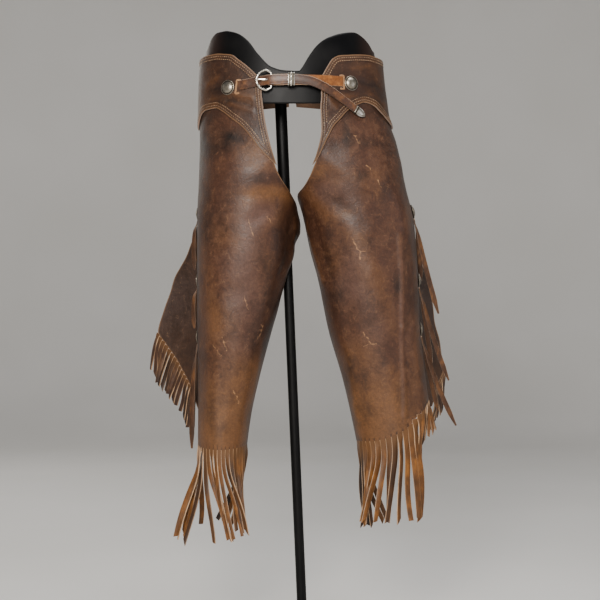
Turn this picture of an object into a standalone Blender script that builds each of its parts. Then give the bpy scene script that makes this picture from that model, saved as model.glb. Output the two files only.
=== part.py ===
"""Fringed leather chaps, empty but holding their worn form, on a plain hip form and pole.

The frame is metres, +Z up, the wearer's front facing -Y. The origin is the centre of the
underside of the base plate. Sizes below are millimetres and become metres in mesh_object.
"Left" and "right" are the viewer's, looking at the front.
"""

import math

import bmesh
import bpy
from mathutils import Vector

MILLIMETRE = 0.001

# Driving sizes, in millimetres
LEATHER = 2.4              # wall of legs and wings
YOKE_LEATHER = 2.8
SEAM_GAP = 0.6             # between pieces that meet edge to edge
LAYER_GAP = 0.7            # between pieces that lie on each other
YOKE_GAP = 1.5             # between a yoke and the leg under it
ROOT_GAP = 0.4             # between a tie string's root and the leg
WING_OUT = -(LEATHER + 0.9)            # grain side of a wing under the leg's edge

POLE_LEAN = -0.0423        # sideways run for each millimetre of height
POLE_RADIUS = 9.5
SLEEVE_RADIUS = 11.5
SLEEVE_LOW = 862.0
BASE_RADIUS = 160.0
BASE_HEIGHT = 8.0
COLLAR_HEIGHT = 26.0       # tapered collar on the plate, which the pole stands in

FORM_WALL = 5.0
FORM_FRONT_LOW = 1058.0
FORM_BACK_LOW = 1096.0

STRAP_WIDTH = 19.0
STRAP_THICK = 2.6
CONCHO_RADIUS = 14.0


def table(columns, rows):
    """Rows of numbers as dictionaries with named columns."""
    names = columns.split()
    return [dict(zip(names, row)) for row in rows]


def read(rows, key, value, name):
    """Smooth reading of a column at a value of the key column, held at the table's ends."""
    xs = [row[key] for row in rows]
    ys = [row[name] for row in rows]
    if xs[0] > xs[-1]:
        xs.reverse()
        ys.reverse()
    if value <= xs[0]:
        return ys[0]
    if value >= xs[-1]:
        return ys[-1]
    steps = [(ys[i + 1] - ys[i]) / (xs[i + 1] - xs[i]) for i in range(len(xs) - 1)]
    slopes = [steps[0]]
    for before, after in zip(steps, steps[1:]):
        slopes.append(0.0 if before * after <= 0 else 2 * before * after / (before + after))
    slopes.append(steps[-1])
    i = max(k for k in range(len(xs) - 1) if xs[k] <= value)
    span = xs[i + 1] - xs[i]
    t = (value - xs[i]) / span
    return ((2 * t ** 3 - 3 * t ** 2 + 1) * ys[i] + (t ** 3 - 2 * t ** 2 + t) * span * slopes[i]
            + (3 * t ** 2 - 2 * t ** 3) * ys[i + 1] + (t ** 3 - t ** 2) * span * slopes[i + 1])


def smooth_step(value, low, high):
    t = min(1.0, max(0.0, (value - low) / (high - low)))
    return t * t * (3 - 2 * t)


# Oval of each leg's grain side by height: centre, half width, half depth to front and back
OVAL = "height centre_x centre_y half_width half_front half_back"
LEFT_OVALS = table(OVAL, [
    (1170, -25.5, 0, 173.5, 106, 106),
    (1110, -24, 0, 177.5, 110, 110),
    (1058, -21, 0, 181.5, 112, 112),
    (1025, -31, 0, 172, 112, 111),
    (1003, -43, 0, 160, 111, 110),
    (980, -58, 0, 145.5, 110, 108),
    (955, -78, 0, 126, 108, 105),
    (925, -96, 0, 109, 106, 101),
    (900, -106, 0, 100, 103, 99),
    (885, -110, 0, 97, 101, 98),
    (850, -112.5, 0, 95.5, 100, 97),
    (790, -113, 0, 95, 98, 95),
    (731, -120.5, 2, 87.5, 94, 91),
    (634, -135, 4, 73, 87, 86),
    (536, -147.5, 7, 59.5, 80, 80),
    (468, -155, 9, 52, 76, 77),
    (400, -160, 10, 47.5, 73, 76),
])
RIGHT_OVALS = table(OVAL, [
    (1170, -25.5, 0, 173.5, 106, 106),
    (1110, -24, 0, 177.5, 110, 110),
    (1058, -21, 0, 181.5, 112, 112),
    (1025, -4, 0, 174, 112, 111),
    (1003, 15, 0, 163, 111, 110),
    (980, 37, 0, 147, 109, 108),
    (955, 61, 0, 129, 107, 105),
    (925, 80, 0, 115, 104, 101),
    (900, 91, 0, 109.5, 102, 98),
    (885, 96.5, 0, 108, 100, 96),
    (850, 106, 0, 107, 98, 94),
    (790, 115, 2, 103.5, 95, 91),
    (731, 125, 4, 97.5, 91, 87),
    (634, 137, 6, 89.5, 83, 80),
    (536, 157, 9, 81, 74, 74),
    (468, 170, 11, 78, 68, 70),
    (400, 180, 12, 74, 64, 68),
])

# Angles run round a leg: 0 at its outer side, 90 front, 180 inner side, 270 back.
# The leg's two long edges by height: behind the hip or on the closing line, and inner
EDGES = "height outer inner"
LEFT_EDGES = table(EDGES, [
    (1150, -62, 71),
    (1104, -62, 71),
    (1050, -62, 74),
    (1010, -60, 78.8),
    (992, -56, 83),
    (975, -50, 89.6),
    (952, -42, 100.7),
    (937, -36, 109),
    (920, -29, 121),
    (901, -23, 139),
    (886, -20, 158),
    (874, -20, 176),
    (858, -20, 188),
    (820, -20, 190),
    (785, -20, 178),
    (740, -20, 167),
    (700, -20, 168),
    (650, -20, 182),
    (560, -20, 192),
    (400, -20, 196),
])
RIGHT_EDGES = table(EDGES, [
    (1150, -62, 71.5),
    (1104, -62, 71.5),
    (1050, -62, 74),
    (1025, -60, 78),
    (1003, -56, 83.7),
    (980, -48, 93),
    (963, -40, 102),
    (944, -30, 114),
    (924, -20, 128),
    (906, -12, 145),
    (893, -8, 169),
    (880, -8, 184),
    (858, -8, 196),
    (800, -8, 200),
    (700, -8, 196),
    (560, -8, 200),
    (400, -8, 204),
])

# Heights of a leg's rows before its top and hem edges are shaped
LEG_ROWS = (1150, 1104, 1055, 1015, 990, 972, 958, 945, 928, 910, 893, 878, 860,
            837, 815, 792, 750, 700, 634, 555, 478, 400)
LEG_COLUMNS = 30
TOP_ROW = 1150.0
TOP_FADE = 1000.0          # the top edge's shape has died out here
HEM_ROW = 400.0
HEM_FADE = 700.0

EDGE = "angle height"
LEFT_TOP = table(EDGE, [
    (-62, 1141), (-30, 1148), (0, 1152.5), (25, 1155), (37, 1155), (45, 1152.5), (50, 1149.5),
    (56, 1138), (61, 1128), (66, 1116), (71, 1098),
])
RIGHT_TOP = table(EDGE, [
    (-62, 1141), (-30, 1147), (0, 1150.5), (25, 1153), (40, 1153), (58, 1148), (63, 1139),
    (67, 1126), (69.6, 1114), (71.5, 1101),
])
LEFT_HEM = table(EDGE, [
    (-20, 404), (20, 402), (60, 399), (90, 398), (130, 400), (180, 402), (196, 401),
])
RIGHT_HEM = table(EDGE, [
    (-8, 492), (15, 487), (35, 475), (52, 460), (68, 443), (84, 430), (100, 421), (125, 413), (204, 406),
])

# Free edge of each wing by height: how far out from the leg's side and back from its edge
WING = "height out back"
LEFT_WING = table(WING, [
    (888, -5, 8),
    (850, 2, 32),
    (813, 17, 56),
    (786, 28, 68),
    (758, 43, 79),
    (734, 57, 88),
    (712, 66, 94),
    (675, 79, 101),
    (628, 92, 107),
    (604, 76, 95),
    (572, 54, 76),
    (532, 30, 52),
    (500, 14, 32),
    (476, 2, 14),
])
RIGHT_WING = table(WING, [
    (892, -1, 8),
    (850, 3, 30),
    (805, 8, 50),
    (771, 14, 64),
    (735, 28, 78),
    (702, 38, 90),
    (655, 42, 99),
    (610, 47, 106),
    (577, 52, 111),
    (556, 54, 113),
    (536, 44, 96),
    (512, 30, 76),
    (492, 16, 52),
    (480, 6, 34),
])
WING_ROWS_LEFT = (888, 856, 820, 780, 745, 710, 668, 628, 604, 572, 532, 500, 476)
WING_ROWS_RIGHT = (892, 858, 820, 780, 745, 710, 670, 628, 590, 556, 536, 512, 492, 480)
WING_UNDERLAP = 16.0       # degrees that a wing lies under the leg
WING_STEPS = 6             # columns from the closing line to the free edge

# Swing of the hem fringe away from the leg, by angle, as a share of its length
SWING = "angle swing length"
LEFT_SWING = table(SWING, [
    (-20, 0.22, 174), (20, 0.19, 172), (60, 0.08, 168), (90, 0.03, 165), (130, 0.03, 158),
    (196, 0.04, 166),
])
RIGHT_SWING = table(SWING, [
    (-8, 0.06, 66), (22, 0.06, 68), (43, 0.05, 72), (52, 0.01, 186), (62, 0.01, 188),
    (90, 0.03, 166), (130, 0.03, 158), (204, 0.05, 166),
])

# Ribs of each yoke from its front edge to the back: the low and the top end, as a distance
# inwards from the hip's side (negative behind it) and a height, and the rib's bow
RIBS = "low_in low_height top_in top_height bow"
LEFT_RIBS = table(RIBS, [
    (152, 944, 122, 1104, -6),
    (142, 952, 117, 1108, -5),
    (122, 972, 106, 1119, -3),
    (105, 995, 92, 1132, -1),
    (88, 1016, 78, 1143, 0),
    (64, 1036, 64, 1153.5, 0),
    (51, 1047, 51, 1156, 0),
    (36, 1055, 36, 1158.5, 0),
    (17, 1054, 17, 1158.5, 0),
    (6, 1046, 6, 1158, 0),
    (0.8, 1030, 0.8, 1157, 0),
    (-0.8, 1024, -0.8, 1156.5, 0),
    (-6, 1029, -6, 1155, 0),
    (-20, 1042, -20, 1153, 0),
    (-45, 1058, -45, 1150, 0),
    (-80, 1071, -80, 1148, 0),
    (-125, 1081, -125, 1145, 0),
    (-172, 1086, -172, 1143, 0),
])
RIGHT_RIBS = table(RIBS, [
    (175, 945, 124, 1108, -11),
    (165, 955, 119, 1113, -9),
    (151, 974, 108, 1130, -5),
    (137, 994, 97, 1144, -2),
    (121, 1014, 85, 1150, 0),
    (101, 1031, 70, 1152, 0),
    (82, 1047, 58, 1154, 0),
    (62, 1059, 46, 1155.5, 0),
    (46, 1064.5, 36, 1156.5, 0),
    (30, 1061, 26, 1157, 0),
    (17, 1049.5, 16, 1156, 0),
    (6, 1036, 6, 1155.5, 0),
    (0.8, 1029, 0.8, 1155, 0),
    (-0.8, 1026, -0.8, 1155, 0),
    (-6, 1030, -6, 1154, 0),
    (-20, 1042, -20, 1153, 0),
    (-45, 1058, -45, 1150, 0),
    (-80, 1071, -80, 1148, 0),
    (-125, 1081, -125, 1145, 0),
    (-172, 1086, -172, 1143, 0),
])
YOKE_ROWS = 8
YOKE_STEP = 4.6            # widest column of a yoke, in degrees round the hips

LEFT = dict(name="left", side=-1, ovals=LEFT_OVALS, edges=LEFT_EDGES, top=LEFT_TOP, hem=LEFT_HEM,
            wing=LEFT_WING, wing_rows=WING_ROWS_LEFT, swing=LEFT_SWING, ribs=LEFT_RIBS,
            corner=628.0, wing_lean=0.16, strip=66, fringe_low=500.0, crease=None)
RIGHT = dict(name="right", side=1, ovals=RIGHT_OVALS, edges=RIGHT_EDGES, top=RIGHT_TOP, hem=RIGHT_HEM,
             wing=RIGHT_WING, wing_rows=WING_ROWS_RIGHT, swing=RIGHT_SWING, ribs=RIGHT_RIBS,
             corner=556.0, wing_lean=-0.12, strip=56, fringe_low=492.0, crease=42.0)

# Domed buttons on the yokes: distance inwards from the hip's side, and height
YOKE_CONCHOS = table("leg inward height", [
    (LEFT, 61, 1091),
    (RIGHT, 69, 1098),
])


def make_material(name, colour, roughness, metallic=0.0):
    """Principled finish from a plain linear colour."""
    material = bpy.data.materials.new(name)
    material.use_nodes = True
    shader = material.node_tree.nodes["Principled BSDF"]
    shader.inputs["Base Color"].default_value = (*colour, 1.0)
    shader.inputs["Roughness"].default_value = roughness
    shader.inputs["Metallic"].default_value = metallic
    return material


def mesh_object(name, points, faces, material, smooth=35.0):
    """One closed body from points in millimetres, its faces turned outwards."""
    mesh = bpy.data.meshes.new(name)
    mesh.from_pydata([tuple(Vector(p) * MILLIMETRE) for p in points], [], faces)
    body = bmesh.new()
    body.from_mesh(mesh)
    bmesh.ops.recalc_face_normals(body, faces=body.faces)
    body.to_mesh(mesh)
    body.free()
    mesh.materials.append(material)
    mesh.shade_smooth()
    mesh.set_sharp_from_angle(angle=math.radians(smooth))
    made = bpy.data.objects.new(name, mesh)
    bpy.context.collection.objects.link(made)
    return made


def wall_object(name, outer, inner, material, closed=False):
    """Wall between two grids of points; closed joins the last column to the first."""
    rows = len(outer)
    columns = len(outer[0])
    points = [p for row in outer for p in row] + [p for row in inner for p in row]
    back = rows * columns
    last = columns if closed else columns - 1
    faces = []
    for i in range(rows - 1):
        for j in range(last):
            k = (j + 1) % columns
            a, b, c, d = i * columns + j, i * columns + k, (i + 1) * columns + k, (i + 1) * columns + j
            faces.append((a, b, c, d))
            faces.append((back + d, back + c, back + b, back + a))
    for j in range(last):
        k = (j + 1) % columns
        low = (rows - 1) * columns
        faces.append((j, back + j, back + k, k))
        faces.append((low + j, low + k, back + low + k, back + low + j))
    if not closed:
        for i in range(rows - 1):
            a, b = i * columns, (i + 1) * columns
            faces.append((a, b, back + b, back + a))
            c, d = a + columns - 1, b + columns - 1
            faces.append((c, back + c, back + d, d))
    return mesh_object(name, points, faces, material)


def rings_object(name, rings, material, loop=False, smooth=35.0):
    """Skin over rings of points, capped at both ends or joined in a loop."""
    sides = len(rings[0])
    points = [p for ring in rings for p in ring]
    faces = []
    count = len(rings)
    for i in range(count if loop else count - 1):
        low = i * sides
        high = ((i + 1) % count) * sides
        for j in range(sides):
            k = (j + 1) % sides
            faces.append((low + j, low + k, high + k, high + j))
    if not loop:
        faces.append(tuple(reversed(range(sides))))
        faces.append(tuple(range((count - 1) * sides, count * sides)))
    return mesh_object(name, points, faces, material, smooth)


def turned_object(name, profile, centre, axis, segments, material):
    """Solid of revolution: profile rows are radius and height along the axis; it starts and
    ends on the axis."""
    axis = Vector(axis).normalized()
    across = axis.orthogonal().normalized()
    other = axis.cross(across)
    points = [Vector(centre) + axis * profile[0][1]]
    rings = profile[1:-1]
    for radius, height in rings:
        for i in range(segments):
            turn = 2 * math.pi * i / segments
            points.append(Vector(centre) + axis * height
                          + (across * math.cos(turn) + other * math.sin(turn)) * radius)
    points.append(Vector(centre) + axis * profile[-1][1])
    faces = []
    for j in range(segments):
        k = (j + 1) % segments
        faces.append((0, 1 + k, 1 + j))
        for r in range(len(rings) - 1):
            low = 1 + r * segments
            high = low + segments
            faces.append((low + j, low + k, high + k, high + j))
        end = 1 + (len(rings) - 1) * segments
        faces.append((len(points) - 1, end + j, end + k))
    return mesh_object(name, points, faces, material, 30.0)


def leg_oval(leg, height):
    rows = leg["ovals"]
    return {name: read(rows, "height", height, name) for name in OVAL.split()[1:]}


def leg_fold(leg, angle, height):
    """Largest folds of the leg leather, moved out from the plain oval."""
    depth = 0.0
    if leg["crease"] is not None:
        reach = smooth_step(height, 420, 560) * (1 - smooth_step(height, 860, 960))
        depth += 5.0 * reach * math.exp(-((angle - leg["crease"]) / 13) ** 2)
        depth -= 2.5 * reach * math.exp(-((angle - leg["crease"] - 30) / 16) ** 2)
    else:
        reach = smooth_step(height, 400, 520) * (1 - smooth_step(height, 800, 930))
        depth += 3.0 * reach * math.exp(-((angle - 128) / 18) ** 2)
        depth -= 2.5 * reach * math.exp(-((angle - 88) / 16) ** 2)
        flare = smooth_step(height, 796, 826) * (1 - smooth_step(height, 836, 886))
        depth += 11.0 * flare * smooth_step(angle, 158, 186) * (1 - smooth_step(angle, 196, 240))
    return depth


def leg_frame(leg, angle, height, out=0.0):
    """Point of the leg at an angle and a height, moved out, with its level outward normal."""
    oval = leg_oval(leg, height)
    turn = math.radians(angle)
    depth = oval["half_front"] if math.sin(turn) >= 0 else oval["half_back"]
    x = leg["side"] * math.cos(turn)
    y = -math.sin(turn)
    normal = Vector((x / oval["half_width"], y / depth, 0)).normalized()
    base = Vector((oval["centre_x"] + oval["half_width"] * x, oval["centre_y"] + depth * y, height))
    moved = out + leg_fold(leg, angle, height)
    return base + normal * moved, normal


def leg_point(leg, angle, height, out=0.0):
    return leg_frame(leg, angle, height, out)[0]


def leg_seat(leg, angle, height, out):
    """Place for a hard round piece that sits square on the leg's face, moved out."""
    place, level = leg_frame(leg, angle, height)
    round_leg = leg_point(leg, angle + 3, height) - leg_point(leg, angle - 3, height)
    down_leg = leg_point(leg, angle, height + 6) - leg_point(leg, angle, height - 6)
    normal = round_leg.cross(down_leg).normalized()
    if normal.dot(level) < 0:
        normal = -normal
    return place + normal * out, normal


def leg_angle(leg, place):
    """Angle round the leg of a place near it."""
    oval = leg_oval(leg, place.z)
    forward = oval["centre_y"] - place.y
    depth = oval["half_front"] if forward >= 0 else oval["half_back"]
    outward = leg["side"] * (place.x - oval["centre_x"])
    return math.degrees(math.atan2(forward / depth, outward / oval["half_width"]))


def leg_height(leg, angle, nominal):
    """Height of a leg's row at an angle, once the top and hem edges are shaped."""
    height = nominal
    if nominal > TOP_FADE:
        share = (nominal - TOP_FADE) / (TOP_ROW - TOP_FADE)
        height += share * (read(leg["top"], "angle", angle, "height") - TOP_ROW)
    if nominal < HEM_FADE:
        share = (HEM_FADE - nominal) / (HEM_FADE - HEM_ROW)
        height += share * (read(leg["hem"], "angle", angle, "height") - HEM_ROW)
    return height


def leg_grid(leg, out):
    """Rows of points over the whole leg leather."""
    grid = []
    for nominal in LEG_ROWS:
        start = read(leg["edges"], "height", nominal, "outer")
        end = read(leg["edges"], "height", nominal, "inner")
        row = []
        for j in range(LEG_COLUMNS):
            angle = start + (end - start) * j / (LEG_COLUMNS - 1)
            row.append(leg_point(leg, angle, leg_height(leg, angle, nominal), out))
        grid.append(row)
    return grid


def wing_row(leg, height, out):
    """Points of a wing at one height, from under the leg's edge to the free edge. The wing
    leaves the leg along its side and flares outwards."""
    edge = leg["edges"][-1]["outer"]
    row = []
    for share in (1.0, 0.5):
        row.append(leg_point(leg, edge + WING_UNDERLAP * share, height, WING_OUT + out))
    start, normal = leg_frame(leg, edge, height, WING_OUT)
    heading = Vector((-leg["side"] * normal.y, leg["side"] * normal.x, 0))
    oval = leg_oval(leg, height)
    side_x = oval["centre_x"] + leg["side"] * oval["half_width"]
    end = Vector((side_x + leg["side"] * read(leg["wing"], "height", height, "out"),
                  start.y + read(leg["wing"], "height", height, "back"), height))
    bend = start + heading * (end - start).length * 0.45
    for i in range(WING_STEPS + 1):
        t = i / WING_STEPS
        point = start * (1 - t) ** 2 + bend * 2 * t * (1 - t) + end * t ** 2
        along = ((bend - start) * (1 - t) + (end - bend) * t).normalized()
        facing = Vector((leg["side"] * along.y, -leg["side"] * along.x, 0))
        row.append(point + facing * out)
    return row


def wing_object(leg, material):
    outer = [wing_row(leg, height, 0.0) for height in leg["wing_rows"]]
    inner = [wing_row(leg, height, -LEATHER) for height in leg["wing_rows"]]
    return wall_object("wing_" + leg["name"], outer, inner, material)


def steady(index, spread):
    """Repeatable small variation for the strips of a fringe."""
    return spread * math.sin(index * 12.9898 + 4.1)


def fringe_object(name, stations, strips, material, thick=LEATHER):
    """Comb of strips on a narrow backing. Stations are points and normals along the cloth's
    edge; the space after each even station is a strip, the next a cut."""
    backing = 7.0
    points = []
    for point, normal, down in stations:
        top = point + down * SEAM_GAP
        low = point + down * (SEAM_GAP + backing)
        points += [top, top - normal * thick, low, low - normal * thick]
    faces = []
    count = len(stations)
    for i in range(count - 1):
        a, b = 4 * i, 4 * (i + 1)
        faces.append((a, b, b + 2, a + 2))
        faces.append((a + 1, a + 3, b + 3, b + 1))
        faces.append((a, a + 1, b + 1, b))
        if i % 2:
            faces.append((a + 2, b + 2, b + 3, a + 3))
            continue
        strip = strips[i // 2]
        ring = [a + 2, b + 2, b + 3, a + 3]
        corners = [points[k] for k in ring]
        centre = sum(corners, Vector()) / 4
        along = (corners[1] - corners[0]).normalized()
        normal = ((stations[i][1] + stations[i + 1][1]) / 2).normalized()
        down = ((stations[i][2] + stations[i + 1][2]) / 2).normalized()
        half = (corners[1] - corners[0]).length / 2
        steps = strip["steps"]
        hang = centre.copy()
        for step in range(1, steps + 1):
            t = step / steps
            fall = down.lerp(strip["hang"], smooth_step(t - 0.5 / steps, 0.1, 0.5))
            hang += fall.normalized() * strip["length"] / steps
            middle = hang + normal * strip["swing"] * strip["length"] * t ** 1.5
            middle += along * strip["lean"] * strip["length"] * t ** 1.5
            turn = strip["twist"] * t
            wide = along * math.cos(turn) + normal * math.sin(turn)
            deep = normal * math.cos(turn) - along * math.sin(turn)
            w = half * (1 - 0.3 * t)
            d = thick / 2 * (1 - 0.15 * t)
            slant = down * (strip["slant"] if step == steps else 0.0)
            fresh = [middle - wide * w + deep * d, middle + wide * w + deep * d + slant,
                     middle + wide * w - deep * d + slant, middle - wide * w - deep * d]
            base = len(points)
            points += fresh
            following = [base, base + 1, base + 2, base + 3]
            for k in range(4):
                m = (k + 1) % 4
                faces.append((ring[k], ring[m], following[m], following[k]))
            ring = following
        faces.append(tuple(ring))
    faces.append((0, 2, 3, 1))
    end = 4 * (count - 1)
    faces.append((end, end + 1, end + 3, end + 2))
    return mesh_object(name, points, faces, material)


def hem_fringe(leg, material):
    """Fringe round the hem, from the closing line to the inner edge."""
    count = 17
    start = leg["edges"][-1]["outer"] + 0.5
    end = leg["edges"][-1]["inner"] - 0.5
    pitch = (end - start) / (count - 0.1)
    edge = leg_grid(leg, 0.0)[-1]
    first = leg["edges"][-1]["outer"]
    last = leg["edges"][-1]["inner"]
    stations = []
    strips = []
    for i in range(count):
        for share in (0.0, 0.9):
            angle = start + pitch * (i + share)
            column = (angle - first) / (last - first) * (LEG_COLUMNS - 1)
            point = edge[int(column)].lerp(edge[int(column) + 1], column - int(column))
            down = (leg_point(leg, angle, point.z - 15) - leg_point(leg, angle, point.z)).normalized()
            stations.append((point, leg_frame(leg, angle, point.z)[1], down))
        middle = start + pitch * (i + 0.46)
        length = read(leg["swing"], "angle", middle, "length") + steady(i, 7)
        strips.append(dict(length=length, swing=read(leg["swing"], "angle", middle, "swing"),
                           lean=steady(i + 5, 0.008), twist=steady(i + 9, 0.22),
                           slant=steady(i + 2, 5) + 5, steps=4, hang=Vector((0, 0, -1))))
    return fringe_object("fringe_hem_" + leg["name"], stations, strips, material, LEATHER - 0.4)


def wing_edge(leg, height):
    """Free edge of a wing with its outward normal and its run along the wing's face."""
    row = wing_row(leg, height, 0.0)
    run = (row[-1] - row[-2]).normalized()
    normal = Vector((leg["side"] * run.y, -leg["side"] * run.x, 0)).normalized()
    return row[-1], normal, run


def wing_fringe(leg, material):
    """Fringe under the wing, from its corner back to the leg."""
    count = 11
    samples = [wing_edge(leg, height) for height in leg["wing_rows"]
               if leg["corner"] >= height >= leg["fringe_low"]]
    lengths = [0.0]
    for before, after in zip(samples, samples[1:]):
        lengths.append(lengths[-1] + (after[0] - before[0]).length)
    total = lengths[-1]
    pitch = total / (count - 0.07)
    stations = []
    strips = []
    for i in range(count):
        for share in (0.0, 0.93):
            want = min(total, pitch * (i + share))
            k = min(len(samples) - 2, sum(1 for length in lengths if length <= want) - 1)
            t = (want - lengths[k]) / (lengths[k + 1] - lengths[k])
            point, normal, run = [a.lerp(b, t) for a, b in zip(samples[k], samples[k + 1])]
            down = (Vector((0, 0, -1)) * 0.86 + run * 0.5).normalized()
            stations.append((point, normal.normalized(), down))
        hang = (Vector((0, 0, -1)) + run * leg["wing_lean"]).normalized()
        strips.append(dict(length=leg["strip"] + steady(i, 6), swing=0.02 + steady(i + 1, 0.02),
                           lean=0.0, twist=steady(i + 3, 0.3), slant=4 + steady(i, 3), steps=3,
                           hang=hang))
    return fringe_object("fringe_wing_" + leg["name"], stations, strips, material, LEATHER - 0.4)


def hip_angle(leg, inward, height):
    """Angle of a point that lies a distance inwards from the side; negative is behind."""
    oval = leg_oval(leg, height)
    share = max(-1.0, min(1.0, 1 - abs(inward) / oval["half_width"]))
    return math.copysign(math.degrees(math.acos(share)), inward)


def yoke_columns(leg):
    """Ribs of a yoke with even steps between them: two at least, more where ribs lie far apart."""
    ribs = [dict(rib, number=i) for i, rib in enumerate(leg["ribs"])]
    columns = []
    for i in range(len(ribs) - 1):
        spread = abs(hip_angle(leg, ribs[i + 1]["top_in"], 1110) - hip_angle(leg, ribs[i]["top_in"], 1110))
        steps = max(2, math.ceil(spread / YOKE_STEP))
        for j in range(steps):
            columns.append({name: read(ribs, "number", i + j / steps, name) for name in RIBS.split()})
    return columns + [ribs[-1]]


def yoke_grid(leg, out):
    """Points of a yoke's face, moved out."""
    columns = yoke_columns(leg)
    grid = []
    for i in range(YOKE_ROWS):
        t = i / (YOKE_ROWS - 1)
        row = []
        for rib in columns:
            height = rib["top_height"] + (rib["low_height"] - rib["top_height"]) * t
            inward = rib["top_in"] + (rib["low_in"] - rib["top_in"]) * t + rib["bow"] * 4 * t * (1 - t)
            row.append(leg_point(leg, hip_angle(leg, inward, height), height, YOKE_GAP + YOKE_LEATHER + out))
        grid.append(row)
    return grid


def yoke_object(leg, material):
    return wall_object("yoke_" + leg["name"], yoke_grid(leg, 0.0), yoke_grid(leg, -YOKE_LEATHER), material)


def ribbon_rings(path, faces, widths, thick):
    """Rings of a flat strap along a path; faces are the directions its grain side looks."""
    rings = []
    for i, point in enumerate(path):
        before = path[max(i - 1, 0)]
        after = path[min(i + 1, len(path) - 1)]
        along = (after - before).normalized()
        side = along.cross(faces[i]).normalized()
        face = side.cross(along).normalized()
        w = side * widths[i] / 2
        t = face * thick / 2
        rings.append([point + w + t, point - w + t, point - w - t, point + w - t])
    return rings


def strap_object(name, path, faces, widths, thick, material):
    return rings_object(name, ribbon_rings(path, faces, widths, thick), material, smooth=30.0)


def front_place(x, height, out):
    """Place on the front of the hips at a sideways position, moved out, with its normal. Both
    straps follow one oval here, from one yoke to the other."""
    oval = leg_oval(LEFT, 1100)
    share = (x - oval["centre_x"]) / oval["half_width"]
    depth = oval["half_front"] * math.sqrt(1 - share * share)
    normal = Vector((share / oval["half_width"], -depth / oval["half_front"] ** 2, 0)).normalized()
    return Vector((x, -depth, height)) + normal * out, normal


def cut_slot(target, centre, size):
    """Cut a box-shaped slot out of a strap; the cutter is left out of the object."""
    bpy.ops.mesh.primitive_cube_add(size=1.0, location=tuple(Vector(centre) * MILLIMETRE))
    cutter = bpy.context.object
    cutter.name = "cutter_" + target.name
    cutter.scale = tuple(Vector(size) * MILLIMETRE)
    bpy.context.view_layer.update()
    cutter.hide_render = True
    cutter.display_type = "WIRE"
    slot = target.modifiers.new("slot", "BOOLEAN")
    slot.operation = "DIFFERENCE"
    slot.solver = "EXACT"
    slot.object = cutter


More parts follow.
